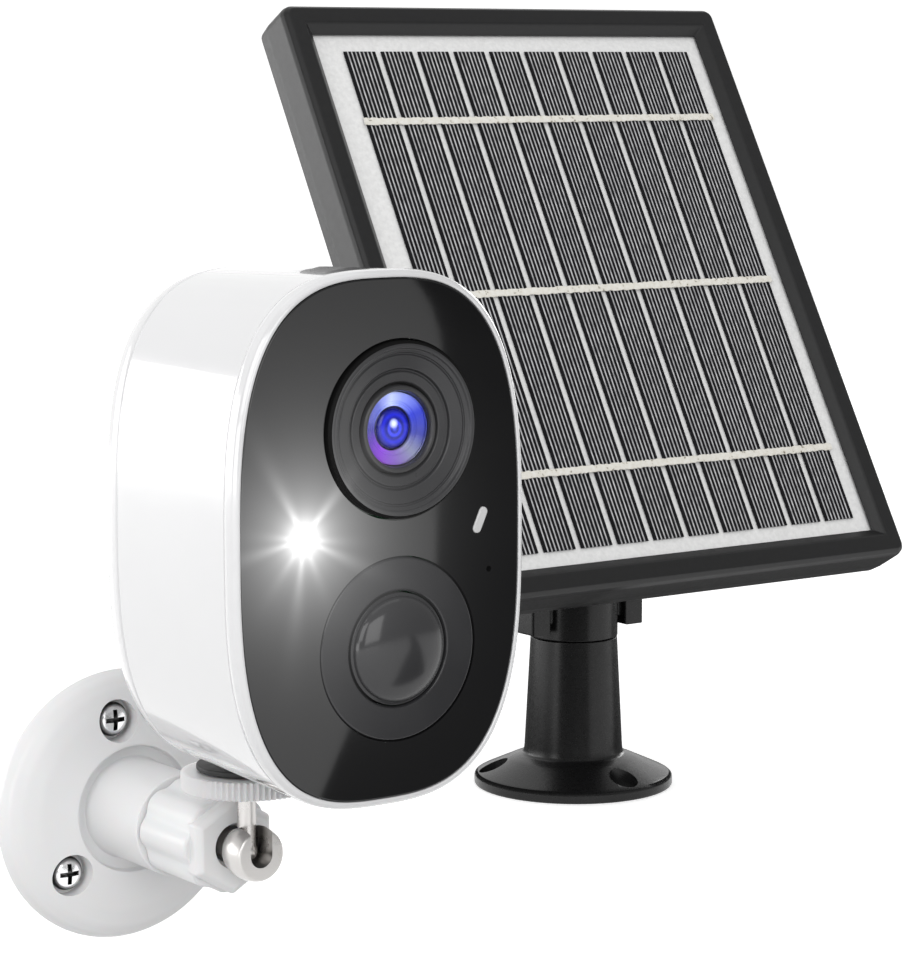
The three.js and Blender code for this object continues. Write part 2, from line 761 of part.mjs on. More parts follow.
// A steel ball with a flat face, a stem behind it, and a slot that is open above and in front.
function ballHead() {
  const profile = [[0, BALL_FACE], [BALL_RADIUS - 0.3, BALL_FACE], [BALL_RADIUS, BALL_FACE + 0.3]];
  const steps = 4;
  for (let i = 0; i < steps; i += 1) {
    const angle = (Math.PI / 2) * (i / steps) * 0.62;
    profile.push([BALL_RADIUS * Math.cos(angle), STUD_Y + BALL_RADIUS * Math.sin(angle)]);
  }
  profile.push([STEM_RADIUS, -44.9], [STEM_RADIUS, -29.6], [0, -29.6]);
  const body = turnedY(profile, 0, 0, 24);
  const slotBottom = rodY(SLOT_RADIUS, BALL_FACE - 1, STUD_Y + SLOT_RADIUS, 0, 0, 16);
  const slotTop = box(-SLOT_RADIUS, SLOT_RADIUS, BALL_FACE - 1, STUD_Y + SLOT_RADIUS, 0, BALL_RADIUS + 1);
  return cut(body, slotBottom, slotTop);
}

// The upright stud with a small ball at its foot.
function tiltStud() {
  const profile = [];
  const steps = 6;
  const joinAngle = Math.asin(STUD_RADIUS / STUD_BALL_RADIUS);
  for (let i = 0; i <= steps; i += 1) {
    const angle = Math.PI - (Math.PI - joinAngle) * (i / steps);
    profile.push([i === 0 ? 0 : STUD_BALL_RADIUS * Math.sin(angle), STUD_BALL_RADIUS * Math.cos(angle)]);
  }
  profile.push([STUD_RADIUS, STUD_TOP - 0.5], [STUD_RADIUS - 0.5, STUD_TOP], [0, STUD_TOP]);
  return turnedZ(profile, 0, STUD_Y, 14);
}

function thumbwheel() {
  const outline = lobedCircle(WHEEL_RADIUS, 0.8, WHEEL_RIBS, 2);
  const bore = circle(STUD_RADIUS + GAP, 0, 0, 14);
  return slabZ(outline, WHEEL_BOTTOM, WHEEL_BOTTOM + WHEEL_HEIGHT, [bore]).translate(0, STUD_Y, 0);
}

add(assembly, 'wall_plate', wallPlate(), 'whitePlastic');
wallScrewPlaces().forEach(([x, z], i) => add(assembly, `wall_screw_${i + 1}`, wallScrew(x, z), 'chrome'));
add(assembly, 'lock_nut', lockNut(), 'whitePlastic');
add(assembly, 'ball_head', ballHead(), 'steel');
add(assembly, 'tilt_stud', tiltStud(), 'steel');
add(assembly, 'thumbwheel', thumbwheel(), 'whitePlastic');

// ---------------------------------------------------------------- solar panel

const halfWindow = WINDOW_WIDTH / 2;
const windowTop = WINDOW_HEIGHT / 2;

// The rim around the panel, with a lip over the sheet and a bevel down to it.
function panelFrame() {
  const lip = 0;
  return loft(panelOutline, [
    [0.4, FRAME_BACK],
    [0, 7],
    [0, 0.6],
    [0.8, -1.2],
    [2.2, FRAME_FRONT],
    [4.6, FRAME_FRONT],
    [FRAME_BORDER - 0.2, -0.4],
    [FRAME_BORDER, lip],
    [FRAME_WALL, lip],
    [FRAME_WALL, FRAME_BACK],
  ], true);
}

function cellStrip(i) {
  const field = WINDOW_WIDTH - MARGIN_LEFT - MARGIN_RIGHT;
  const width = (field - (STRIPS - 1) * STRIP_GAP) / STRIPS;
  const left = -halfWindow + MARGIN_LEFT + i * (width + STRIP_GAP);
  return box(left, left + width, 0.35, 0.6, -windowTop + MARGIN_BOTTOM, windowTop - MARGIN_TOP);
}

// A ribbon across all strips; the middle one crosses them half way up.
function busbar(i) {
  const height = WINDOW_HEIGHT - MARGIN_TOP - MARGIN_BOTTOM;
  const middle = windowTop - MARGIN_TOP - height * (0.5 + (i - 1) * BUSBAR_PITCH);
  const left = -halfWindow + MARGIN_LEFT - 1;
  const right = halfWindow - MARGIN_RIGHT + 1;
  return box(left, right, -0.15, 0.05, middle - BUSBAR_WIDTH / 2, middle + BUSBAR_WIDTH / 2);
}

// Where the pivot's line crosses the panel's own height axis, below its middle.
const pivotBehind = FRAME_BACK + PIVOT_STANDOFF;
const pivotUp = (FOOT_Y - PANEL_Y - pivotBehind * Math.cos(PANEL_TILT)) / Math.sin(PANEL_TILT);
const pivotZ = PANEL_Z + pivotUp * Math.cos(PANEL_TILT) - pivotBehind * Math.sin(PANEL_TILT);

// A rounded arm in Y and Z, from a square root at z0 to a round end about the pivot.
function armOutline(y, z0, z1, halfDepth, steps) {
  const points = [vec(y - halfDepth, z0), vec(y + halfDepth, z0)];
  for (let i = 0; i <= steps; i += 1) {
    const angle = (Math.PI * i) / steps;
    points.push(vec(y + halfDepth * Math.cos(angle), z1 + halfDepth * Math.sin(angle)));
  }
  return points;
}

// The back cover, with the lug that the pivot bolt passes through.
function backCover() {
  const inset = FRAME_WALL + GAP;
  const plate = loft(panelOutline, [[inset, FRAME_BACK - 2], [inset, FRAME_BACK]], false);
  const halfLug = LUG_WIDTH / 2;
  const outline = [
    vec(FRAME_BACK - 1, pivotUp - 12),
    vec(FRAME_BACK - 1, pivotUp + 12),
    vec(pivotBehind - 4, pivotUp + 7.5),
    vec(pivotBehind + 3.5, pivotUp + 6),
    vec(pivotBehind + 7, pivotUp),
    vec(pivotBehind + 3.5, pivotUp - 6),
    vec(pivotBehind - 4, pivotUp - 7.5),
  ];
  const lug = slabX(outline, -halfLug, halfLug);
  const bore = rodX(PIVOT_RADIUS + GAP, -halfLug - 1, halfLug + 1, pivotBehind, pivotUp, 16);
  const outlet = rodY(2.6, FRAME_BACK - 3, FRAME_BACK + 1, 0, 22, 12);
  return cut(join(plate, lug), bore, outlet);
}

// The collar that the panel's lead comes out of.
function leadGland() {
  const start = FRAME_BACK - 1.8;
  return turnedY([
    [1.5, start],
    [2.3, start],
    [2.3, FRAME_BACK + GAP],
    [4.5, FRAME_BACK + GAP],
    [4.5, FRAME_BACK + 2.5],
    [3, FRAME_BACK + 9],
    [1.5, FRAME_BACK + 9],
    [1.5, start],
  ], 0, 22, 12);
}

add(panel, 'panel_frame', panelFrame(), 'frameBlack');
add(panel, 'panel_sheet', box(-64.4, 64.4, 0.9, 2.4, -75.2, 75.2), 'whiteSheet');
for (let i = 0; i < STRIPS; i += 1) {
  add(panel, `cell_strip_${String(i + 1).padStart(2, '0')}`, cellStrip(i), 'solarCell');
}
for (let i = 0; i < BUSBARS; i += 1) {
  add(panel, `busbar_${i + 1}`, busbar(i), 'solder');
}
add(panel, 'panel_back_cover', backCover(), 'blackSatin');
add(panel, 'lead_gland', leadGland(), 'blackRubber');

// ---------------------------------------------------------------- stand

// The round foot with its screw holes, and the tapered pole that is hollow at its top.
function standBase() {
  const body = turnedZ([
    [0, FOOT_BOTTOM],
    [FOOT_RADIUS, FOOT_BOTTOM],
    [FOOT_RADIUS, FOOT_BOTTOM + 2.3],
    [FOOT_RADIUS - 0.7, FOOT_BOTTOM + 2.9],
    [15.4, FOOT_BOTTOM + 7],
    [POLE_RADIUS, FOOT_BOTTOM + 8.2],
    [POLE_TOP_RADIUS, POLE_TOP - 0.4],
    [POLE_TOP_RADIUS - 0.4, POLE_TOP],
    [8, POLE_TOP],
    [8, FOOT_BOTTOM + 14],
    [0, FOOT_BOTTOM + 14],
  ], 0, 0, 36);
  const holes = FOOT_HOLE_ANGLES.map((degrees) => {
    const angle = THREE.MathUtils.degToRad(degrees);
    const x = FOOT_HOLE_CIRCLE * Math.cos(angle);
    const y = FOOT_HOLE_CIRCLE * Math.sin(angle);
    return rodZ(FOOT_HOLE_RADIUS, FOOT_BOTTOM - 1, FOOT_BOTTOM + 8, x, y, 14);
  });
  return cut(body, ...holes);
}

// The swivelling fork: a spigot in the pole, a barrel on its end, and an arm on each side.
function swivelFork() {
  const barrel = turnedZ([
    [0, FOOT_BOTTOM + 18],
    [7.6, FOOT_BOTTOM + 18],
    [7.6, POLE_TOP + GAP],
    [FORK_RADIUS - 0.5, POLE_TOP + GAP],
    [FORK_RADIUS, POLE_TOP + 0.8],
    [FORK_RADIUS, FORK_BARREL_TOP],
    [0, FORK_BARREL_TOP],
  ], 0, 0, 28);
  const inner = FORK_GAP / 2;
  const outer = inner + FORK_ARM;
  const outline = armOutline(0, FORK_ARM_BOTTOM, pivotZ, FORK_DEPTH / 2, 8);
  const arms = [slabX(outline, -outer, -inner), slabX(outline, inner, outer)];
  const bridge = box(-outer + 1, outer - 1, -4.5, 4.5, FORK_ARM_BOTTOM + 2, FORK_BARREL_TOP - 2);
  const bore = rodX(PIVOT_RADIUS + GAP, -outer - 1, outer + 1, 0, pivotZ, 16);
  return cut(join(barrel, ...arms, bridge), bore);
}

// The bolt through both arms and the lug, with its head on the left.
function pivotBolt() {
  const outer = FORK_GAP / 2 + FORK_ARM + GAP;
  const shank = rodX(PIVOT_RADIUS, -outer - 1, outer + 9, 0, pivotZ, 14);
  const head = rodX(4.6, -outer - 3.4, -outer, 0, pivotZ, 6);
  return join(shank, head);
}

// The knob on the bolt's end, blind at its outer face.
function clampKnob() {
  const start = FORK_GAP / 2 + FORK_ARM + GAP;
  const grip = slabX(lobedCircle(KNOB_RADIUS, 2, 6, 5), start + 1, start + 11);
  const collar = rodX(5, start, start + 1.5, 0, 0, 16);
  const bore = rodX(PIVOT_RADIUS + GAP, start - 1, start + 9.5, 0, 0, 12);
  return cut(join(grip, collar), bore).translate(0, 0, pivotZ);
}

add(stand, 'stand_base', standBase(), 'blackSatin');
add(stand, 'swivel_fork', swivelFork(), 'blackSatin');
add(stand, 'pivot_bolt', pivotBolt(), 'steel');
add(stand, 'clamp_knob', clampKnob(), 'blackSatin');

export default assembly;
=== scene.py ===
"""Looks for the solar-powered security camera: fine shells, lenses, bracket, panel and stand.

Sizes are in millimetres, and MM turns them into metres. X runs right, Y backwards and Z up, so what
stands out of the face or the wall has a negative distance along Y.
"""

import json
import math
import random

import bmesh
import bpy
from mathutils import Matrix, Vector


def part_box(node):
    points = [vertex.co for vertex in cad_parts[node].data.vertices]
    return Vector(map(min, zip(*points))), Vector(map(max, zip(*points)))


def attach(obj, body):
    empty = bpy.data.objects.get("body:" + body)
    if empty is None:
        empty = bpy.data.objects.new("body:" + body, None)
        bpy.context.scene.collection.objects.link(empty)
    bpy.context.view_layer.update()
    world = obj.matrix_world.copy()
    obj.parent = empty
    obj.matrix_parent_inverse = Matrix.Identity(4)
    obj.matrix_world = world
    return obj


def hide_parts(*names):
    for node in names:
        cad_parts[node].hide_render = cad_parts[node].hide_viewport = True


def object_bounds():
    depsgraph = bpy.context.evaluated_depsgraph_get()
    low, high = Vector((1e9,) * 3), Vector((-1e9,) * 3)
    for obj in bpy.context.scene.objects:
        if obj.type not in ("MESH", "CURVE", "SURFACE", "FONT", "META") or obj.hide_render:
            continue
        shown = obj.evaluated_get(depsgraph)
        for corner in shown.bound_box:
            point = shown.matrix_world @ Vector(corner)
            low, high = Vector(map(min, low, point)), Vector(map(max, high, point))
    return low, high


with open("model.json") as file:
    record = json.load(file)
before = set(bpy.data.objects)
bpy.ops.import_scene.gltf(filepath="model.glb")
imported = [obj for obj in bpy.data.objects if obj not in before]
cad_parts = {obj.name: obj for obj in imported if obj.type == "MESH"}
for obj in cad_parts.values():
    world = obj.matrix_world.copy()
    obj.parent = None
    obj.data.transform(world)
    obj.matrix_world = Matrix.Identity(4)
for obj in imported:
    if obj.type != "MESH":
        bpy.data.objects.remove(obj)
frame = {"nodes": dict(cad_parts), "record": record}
cad_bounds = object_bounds()

MM = 0.001
GAP = 0.3  # play between neighbouring pieces
FINE = 96  # sides of a large round piece
TINY = 48  # sides of a small one
QUARTER = math.pi / 2
SHARP = math.radians(35)  # an edge that turns more than this stays sharp

# ---------------- places, from the frame


def box_mm(node):
    low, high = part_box(node)
    return low / MM, high / MM


def heights(node):
    low, high = box_mm(node)
    return low.z, high.z


def middle(node):
    low, high = box_mm(node)
    return (low + high) / 2


def on_face(node):
    """The middle of a node, moved onto the plane of the face."""
    centre = middle(node)
    return Vector((centre.x, box_mm("front_cover")[0].y, centre.z))


bezel_low, bezel_high = box_mm("front_bezel")
HALF_WIDTH = (bezel_high.x - bezel_low.x) / 2
HALF_HEIGHT = (bezel_high.z - bezel_low.z) / 2
SQUARENESS = 2.9  # power of the body's superellipse
FACE = on_face("front_cover")
LENS = on_face("lens_hood")
PIR = on_face("pir_ring")
SPOT = on_face("spotlight_lens")
STATUS = on_face("status_window")
STUD = Vector((middle("tilt_stud").x, middle("tilt_stud").y, 0))
BOSS = Vector((FACE.x, STUD.y, FACE.z))  # the threaded boss under the body, on the stud's axis
ARM = Vector((middle("wall_plate").x, box_mm("wall_plate")[1].y, middle("wall_plate").z))
STAND = Vector((middle("stand_base").x, middle("stand_base").y, box_mm("stand_base")[0].z))
FORK_HALF_DEPTH = 6
PIVOT_Z = box_mm("swivel_fork")[1].z - FORK_HALF_DEPTH
PIVOT = Vector((STAND.x, STAND.y, PIVOT_Z))
PANEL_TILT = math.radians(30)
SHEET_DEPTH = 1.65  # the sheet's middle, behind the frame's window plane
PANEL = middle("panel_sheet") - SHEET_DEPTH * Vector((0, math.cos(PANEL_TILT), -math.sin(PANEL_TILT)))
FLOOR = cad_bounds[0][2]  # in metres

ALONG_Y = Matrix.Identity(4)
ALONG_Z = Matrix.Rotation(math.radians(90), 4, "X")
ALONG_X = Matrix.Rotation(math.radians(-90), 4, "Z")
PANEL_TURN = Matrix.Rotation(-PANEL_TILT, 4, "X")

# ---------------- mesh helpers


def spread(start, end, steps):
    """Evenly spaced values from start to end, with both ends."""
    return [start + (end - start) * k / steps for k in range(steps + 1)]


def around(count, start=0.0):
    """Evenly spaced angles of one full turn."""
    return [start + 2 * math.pi * k / count for k in range(count)]


def rounded(profile, radius, steps=4, ring=False):
    """A profile with each corner replaced by a curve that starts radius away from it."""
    points = [Vector(p) for p in profile]
    count = len(points)
    result = []
    for i, corner in enumerate(points):
        if not ring and i in (0, count - 1):
            result.append(corner)
            continue
        before = points[i - 1] - corner
        after = points[(i + 1) % count] - corner
        reach = min(radius, 0.45 * before.length, 0.45 * after.length)
        start = corner + before.normalized() * reach
        end = corner + after.normalized() * reach
        for t in spread(0, 1, steps):
            result.append(start * (1 - t) ** 2 + corner * 2 * t * (1 - t) + end * t ** 2)
    return [tuple(p) for p in result]


def linked(name, data):
    """A new object in the scene."""
    item = bpy.data.objects.new(name, data)
    bpy.context.scene.collection.objects.link(item)
    return item


def new_object(name, bm, origin, turn):
    """An object in metres from a mesh in millimetres, turned and then moved to its origin."""
    bmesh.ops.remove_doubles(bm, verts=bm.verts, dist=1e-5)
    bmesh.ops.recalc_face_normals(bm, faces=bm.faces)
    mesh = bpy.data.meshes.new(name)
    bm.to_mesh(mesh)
    bm.free()
    mesh.transform(Matrix.Scale(MM, 4) @ Matrix.Translation(origin) @ turn)
    piece = linked(name, mesh)
    smooth(piece)
    return piece


def smooth(piece):
    piece.data.shade_smooth()
    piece.data.set_sharp_from_angle(angle=SHARP)


def bridge(bm, rings, ring):
    """Quads between stacked loops of vertices; ring joins the last to the first."""
    count = len(rings)
    for i in range(count if ring else count - 1):
        near, far = rings[i], rings[(i + 1) % count]
        if len(near) == 1 and len(far) == 1:
            continue
        sides = max(len(near), len(far))
        for k in range(sides):
            j = (k + 1) % sides
            if len(near) == 1:
                corners = [near[0], far[j], far[k]]
            elif len(far) == 1:
                corners = [near[k], near[j], far[0]]
            else:
                corners = [near[k], near[j], far[j], far[k]]
            bm.faces.new(corners)


def turned(name, profile, origin, turn=ALONG_Y, sides=FINE, ring=False):
    """A turned piece; each profile point is (radius, distance along the axis)."""
    bm = bmesh.new()
    rings = []
    for radius, along in profile:
        if radius < 1e-6:
            rings.append([bm.verts.new((0, along, 0))])
            continue
        corners = [(radius * math.cos(a), along, radius * math.sin(a)) for a in around(sides)]
        rings.append([bm.verts.new(corner) for corner in corners])
    bridge(bm, rings, ring)
    return new_object(name, bm, origin, turn)


def lofted(name, outline, stations, origin, turn=ALONG_Y, ring=False):
    """Stacked outlines; each station is (inset, distance along the axis). Ends are capped."""
    bm = bmesh.new()
    rings = []
    for inset, along in stations:
        rings.append([bm.verts.new((x, along, z)) for x, z in outline(inset)])
    bridge(bm, rings, ring)
    if not ring:
        bm.faces.new(rings[0])
        bm.faces.new(rings[-1])
    return new_object(name, bm, origin, turn)


def slab_stations(start, end, edge, steps=3):
    """Stations of a slab with rounded edges."""
    curve = [(edge * (1 - math.sin(a)), edge * (1 - math.cos(a))) for a in spread(0, QUARTER, steps)]
    near = [(inset, start + depth) for inset, depth in curve]
    far = [(inset, end - depth) for depth, inset in curve]
    return near + far


def block(name, low, high, origin, turn=ALONG_Y):
    bm = bmesh.new()
    bmesh.ops.create_cube(bm, size=1)
    low, high = Vector(low), Vector(high)
    size = high - low
    for vertex in bm.verts:
        vertex.co = Vector([vertex.co[i] * size[i] for i in range(3)]) + (low + high) / 2
    return new_object(name, bm, origin, turn)


def rod(name, radius, start, end, origin, turn=ALONG_Y, sides=TINY):
    return turned(name, [(0, start), (radius, start), (radius, end), (0, end)], origin, turn, sides)


def settle(piece):
    """Applies the modifiers of a piece."""
    evaluated = piece.evaluated_get(bpy.context.evaluated_depsgraph_get())
    mesh = bpy.data.meshes.new_from_object(evaluated)
    piece.modifiers.clear()
    old = piece.data
    piece.data = mesh
    bpy.data.meshes.remove(old)
    smooth(piece)
    return piece


def combine(piece, tools, operation):
    for tool in tools:
        modifier = piece.modifiers.new("boolean", "BOOLEAN")
        modifier.operation = operation
        modifier.object = tool
        modifier.solver = "EXACT"
    settle(piece)
    for tool in tools:
        bpy.data.objects.remove(tool)
    return piece


def carve(piece, *tools):
    return combine(piece, tools, "DIFFERENCE")


def weld(piece, *tools):
    return combine(piece, tools, "UNION")


def bevelled(piece, width, segments=3):
    modifier = piece.modifiers.new("bevel", "BEVEL")
    modifier.width = width * MM
    modifier.segments = segments
    modifier.limit_method = "ANGLE"
    modifier.angle_limit = SHARP
    modifier.use_clamp_overlap = True
    return settle(piece)


# ---------------- outlines


def body_outline(inset, steps=200):
    power = 2 / SQUARENESS
    points = []
    for angle in around(steps):
        across = math.copysign(abs(math.cos(angle)) ** power, math.cos(angle))
        up = math.copysign(abs(math.sin(angle)) ** power, math.sin(angle))
        points.append(((HALF_WIDTH - inset) * across, (HALF_HEIGHT - inset) * up))
    return points


def lobed(radius, depth, lobes, steps_per_lobe, sharpness=1.0):
    """An outline function: a circle whose radius dips between its lobes."""

    def outline(inset):
        points = []
        for angle in around(lobes * steps_per_lobe):
            dip = ((1 - math.cos(lobes * angle)) / 2) ** sharpness
            reach = radius - inset - depth * dip
            points.append((reach * math.cos(angle), reach * math.sin(angle)))
        return points

    return outline


def polygon(radius, corners, start=0.0):
    """An outline function: a regular polygon, by the radius of its corners."""

    def outline(inset):
        reach = radius - inset / math.cos(math.pi / corners)
        return [(reach * math.cos(a), reach * math.sin(a)) for a in around(corners, start)]

    return outline


def pill(length, width, lean=0.0, steps=10):
    """An outline function: a straight slot with round ends, leaning to the right."""

    def outline(inset):
        radius = width / 2 - inset
        reach = (length - width) / 2
        points = []
        for end, start in ((1, 0), (-1, math.pi)):
            for angle in spread(start, start + math.pi, steps):
                across = radius * math.cos(angle)
                up = radius * math.sin(angle) + end * reach
                points.append((
                    across * math.cos(lean) + up * math.sin(lean),
                    -across * math.sin(lean) + up * math.cos(lean),
                ))
        return points

    return outline


def round_rectangle(half_width, half_height, radius, steps=6):
    """An outline function: a rectangle whose corners never get sharper than 0.15."""

    def outline(inset):
        curve = max(radius - inset, 0.15)
        points = []
        for corner, (right, top) in enumerate(((1, 1), (-1, 1), (-1, -1), (1, -1))):
            for angle in spread(QUARTER * corner, QUARTER * (corner + 1), steps):
                points.append((
                    right * (half_width - inset - curve) + curve * math.cos(angle),
                    top * (half_height - inset - curve) + curve * math.sin(angle),
                ))
        return points

    return outline


# ---------------- material helpers


class Surface:
    """A node material around one Principled shader, patterned in the piece's own coordinates."""

    def __init__(self, name, color, roughness, metallic=0.0, **sockets):
        self.material = bpy.data.materials.new(name)
        self.material.use_nodes = True
        self.nodes = self.material.node_tree.nodes
        self.links = self.material.node_tree.links
        self.shader = self.nodes["Principled BSDF"]
        self.color = (*color, 1)
        self.roughness = roughness
        self.set("Base Color", self.color)
        self.set("Roughness", roughness)
        self.set("Metallic", metallic)
        for socket, value in sockets.items():
            self.set(socket.replace("_", " "), value)
        self.coordinates = self.nodes.new("ShaderNodeTexCoord").outputs["Object"]

    def set(self, socket, value):
        self.shader.inputs[socket].default_value = value

    def link(self, source, socket):
        self.links.new(source, self.shader.inputs[socket])

    def math(self, operation, a, b=None):
        node = self.nodes.new("ShaderNodeMath")
        node.operation = operation
        for socket, value in zip(node.inputs, (a, b)):
            if value is None:
                continue
            if isinstance(value, (int, float)):
                socket.default_value = value
            else:
                self.links.new(value, socket)
        return node.outputs[0]

    def vector(self, operation, source, constant):
        node = self.nodes.new("ShaderNodeVectorMath")
        node.operation = operation
        self.links.new(source, node.inputs[0])
        node.inputs[1].default_value = constant
        return node.outputs["Vector"]

    def split(self, vector):
        node = self.nodes.new("ShaderNodeSeparateXYZ")
        self.links.new(vector, node.inputs[0])
        return node.outputs

    def polar(self, centre):
        """The angle and the distance from a point, seen from the front."""
        parts = self.split(self.vector("SUBTRACT", self.coordinates, centre * MM))
        across, up = parts[0], parts[2]
        squares = [self.math("MULTIPLY", part, part) for part in (across, up)]
        return self.math("ARCTAN2", up, across), self.math("SQRT", self.math("ADD", *squares))

    def noise(self, scale, detail, stretch=(1, 1, 1)):
        source = self.vector("MULTIPLY", self.coordinates, Vector(stretch))
        node = self.nodes.new("ShaderNodeTexNoise")
        node.inputs["Scale"].default_value = scale
        node.inputs["Detail"].default_value = detail
        self.links.new(source, node.inputs["Vector"])
        return node.outputs[0]

    def ramp(self, source, stops):
        node = self.nodes.new("ShaderNodeValToRGB")
        elements = node.color_ramp.elements
        while len(elements) < len(stops):
            elements.new(0.5)
        for element, (place, color) in zip(elements, stops):
            element.position = place
            element.color = (*color, 1)
        self.links.new(source, node.inputs[0])
        return node.outputs[0]

    def span(self, source, low, high, to_low=0.0, to_high=1.0):
        node = self.nodes.new("ShaderNodeMapRange")
        for i, value in enumerate((low, high, to_low, to_high)):
            node.inputs[i + 1].default_value = value
        self.links.new(source, node.inputs[0])
        return node.outputs[0]

    def mix(self, factor, a, b):
        node = self.nodes.new("ShaderNodeMix")
        node.data_type = "RGBA"
        for socket, value in zip((node.inputs[0], node.inputs[6], node.inputs[7]), (factor, a, b)):
            if isinstance(value, tuple):
                socket.default_value = (*value, 1)
            else:
                self.links.new(value, socket)
        return node.outputs[2]

    def vary_color(self, scale, amount, stretch=(1, 1, 1)):
        dark, light = [tuple(min(1, c * f) for c in self.color[:3]) for f in (1 - amount, 1 + amount)]
        self.link(self.ramp(self.noise(scale, 4, stretch), [(0.3, dark), (0.7, light)]), "Base Color")
        return self

    def vary_roughness(self, scale, amount):
        low, high = self.roughness - amount, self.roughness + amount
        self.link(self.span(self.noise(scale, 4), 0.3, 0.7, low, high), "Roughness")
        return self

    def grain(self, scale, strength, distance):
        """A fine bump; distance is in millimetres."""
        node = self.nodes.new("ShaderNodeBump")
        node.inputs["Strength"].default_value = strength
        node.inputs["Distance"].default_value = distance * MM
        self.links.new(self.noise(scale, 3), node.inputs["Height"])
        self.link(node.outputs[0], "Normal")
        return self

    def glow(self, strength, color=(1, 1, 1)):
        self.set("Emission Color", (*color, 1))
        self.set("Emission Strength", strength)
        return self

    def paint_glowing(self, color, strength):
        """Colours the surface by a node, and paints a faint glow in the same colour: painted light."""
        for socket in ("Base Color", "Emission Color"):
            self.link(color, socket)
        self.set("Emission Strength", strength)
        return self

    def fade(self, distance, reach):
        """Falls from 1 as distance grows; reach is in millimetres."""
        return self.math("EXPONENT", self.math("DIVIDE", distance, -reach * MM))

    def painted_spot_glare(self, strength):
        """Painted light: the lit spotlight's spill, core and glare rays, painted as a glow over the face
        and fading away from the lamp.
        """
        angle, far = self.polar(SPOT)
        spill = self.math("MULTIPLY", self.fade(far, 7.5), 0.85)
        near = self.math("POWER", self.math("DIVIDE", far, 2.7 * MM), 1.5)
        core = self.math("MULTIPLY", self.math("EXPONENT", self.math("MULTIPLY", near, -1)), 1.3)
        total = self.math("ADD", spill, core)
        for lobes, phase, sharpness, reach in ((6, 0.4, 14, 3.2), (5, 1.1, 26, 5.4)):
            bearing = self.math("ADD", self.math("MULTIPLY", angle, lobes / 2), phase)
            swing = self.math("ABSOLUTE", self.math("COSINE", bearing))
            ray = self.math("MULTIPLY", self.math("POWER", swing, sharpness), self.fade(far, reach))
            total = self.math("ADD", total, self.math("MULTIPLY", ray, 0.6))
        self.glow(0)
        self.link(self.math("MULTIPLY", total, strength), "Emission Strength")
        return self


# ---------------- materials


def shell_surface():
    surface = Surface("white_shell", (0.7, 0.7, 0.708), 0.16, Coat_Weight=1.0, Coat_Roughness=0.03)
    return surface.vary_roughness(60, 0.03).vary_color(25, 0.01).grain(2600, 0.03, 0.02).material


def face_surface():
    surface = Surface("black_face", (0.004, 0.004, 0.0045), 0.04, Specular_IOR_Level=0.5)
    # Painted light: the spotlight's spill and glare rays glow on the face.
    return surface.vary_roughness(40, 0.015).grain(900, 0.015, 0.01).painted_spot_glare(1.0).material


def dark_surface():
    surface = Surface("dark_plastic", (0.028, 0.028, 0.03), 0.32, Specular_IOR_Level=0.4)
    # Painted light: the spotlight's spill and glare rays glow faintly on the lens rings.
    return surface.vary_roughness(200, 0.05).grain(5000, 0.12, 0.02).painted_spot_glare(0.55).material


def pir_surface():
    surface = Surface("pir_plastic", (0.022, 0.022, 0.024), 0.16, Specular_IOR_Level=0.4)
    # Painted light: the spotlight's spill and glare rays glow faintly on the sensor parts.
    return surface.vary_roughness(120, 0.03).grain(1500, 0.03, 0.02).painted_spot_glare(0.7).material


def glass_surface():
    surface = Surface("lens_glass", (0.85, 0.87, 1.0), 0.01, Transmission_Weight=1.0, IOR=1.15)
    return surface.vary_color(90, 0.02).material


def coating_reflection_surface():
    """Blue and violet coatings that shift around the lens, with painted reflections, pale at the top and
    grey at the lower right, and a faint painted glow.
    """
    surface = Surface("lens_coating_painted_reflection", (0.1, 0.1, 0.7), 0.12, Specular_IOR_Level=0.25)
    angle = surface.polar(LENS)[0]
    # The violet and blue stops are the coating; the pale stops near the top and the grey stop at the lower
    # right are painted reflections.
    color = surface.ramp(surface.span(angle, -math.pi, math.pi), [
        (0.0, (0.1, 0.09, 0.34)),
        (0.15, (0.32, 0.09, 0.62)),
        (0.25, (0.3, 0.17, 0.5)),
        (0.36, (0.32, 0.33, 0.4)),
        (0.46, (0.06, 0.07, 0.34)),
        (0.58, (0.04, 0.06, 0.55)),
        (0.7, (0.3, 0.36, 0.8)),
        (0.77, (0.65, 0.72, 1.0)),
        (0.86, (0.2, 0.23, 0.6)),
        (1.0, (0.1, 0.09, 0.34)),
    ])
    return surface.paint_glowing(color, 0.3).material


def element_surface():
    """The small inner element: deep blue rings with a dark rim, a pale painted highlight, and a faint
    painted glow.
    """
    surface = Surface("inner_element", (0.02, 0.03, 0.5), 0.05, Specular_IOR_Level=0.5)
    far = surface.polar(LENS)[1]
    rings = surface.ramp(surface.span(far, 0, 3.6 * MM), [
        (0.0, (0.05, 0.08, 0.7)),
        (0.2, (0.008, 0.012, 0.22)),
        (0.33, (0.04, 0.06, 0.75)),
        (0.48, (0.004, 0.006, 0.16)),
        (0.68, (0.012, 0.018, 0.5)),
        (0.86, (0.004, 0.006, 0.2)),
        (1.0, (0.002, 0.002, 0.03)),
    ])
    # Painted highlight: a pale spot a little above the lens's middle.
    from_painted_glint = surface.polar(LENS + Vector((-0.2, 0, 0.9)))[1]
    painted_glint = surface.span(from_painted_glint, 0.3 * MM, 1.0 * MM, 1, 0)
    color = surface.mix(painted_glint, rings, (0.75, 0.8, 1.0))
    return surface.paint_glowing(color, 0.55).material


def painted_shade_surface():
    """Near-black matt skin on the side wall around the lens: painted shade for the dark crescent beside the
    lens ring.
    """
    surface = Surface("matt_painted_shade", (0.004, 0.004, 0.004), 0.5, Specular_IOR_Level=0.08)
    return surface.vary_roughness(300, 0.05).grain(4000, 0.1, 0.02).material


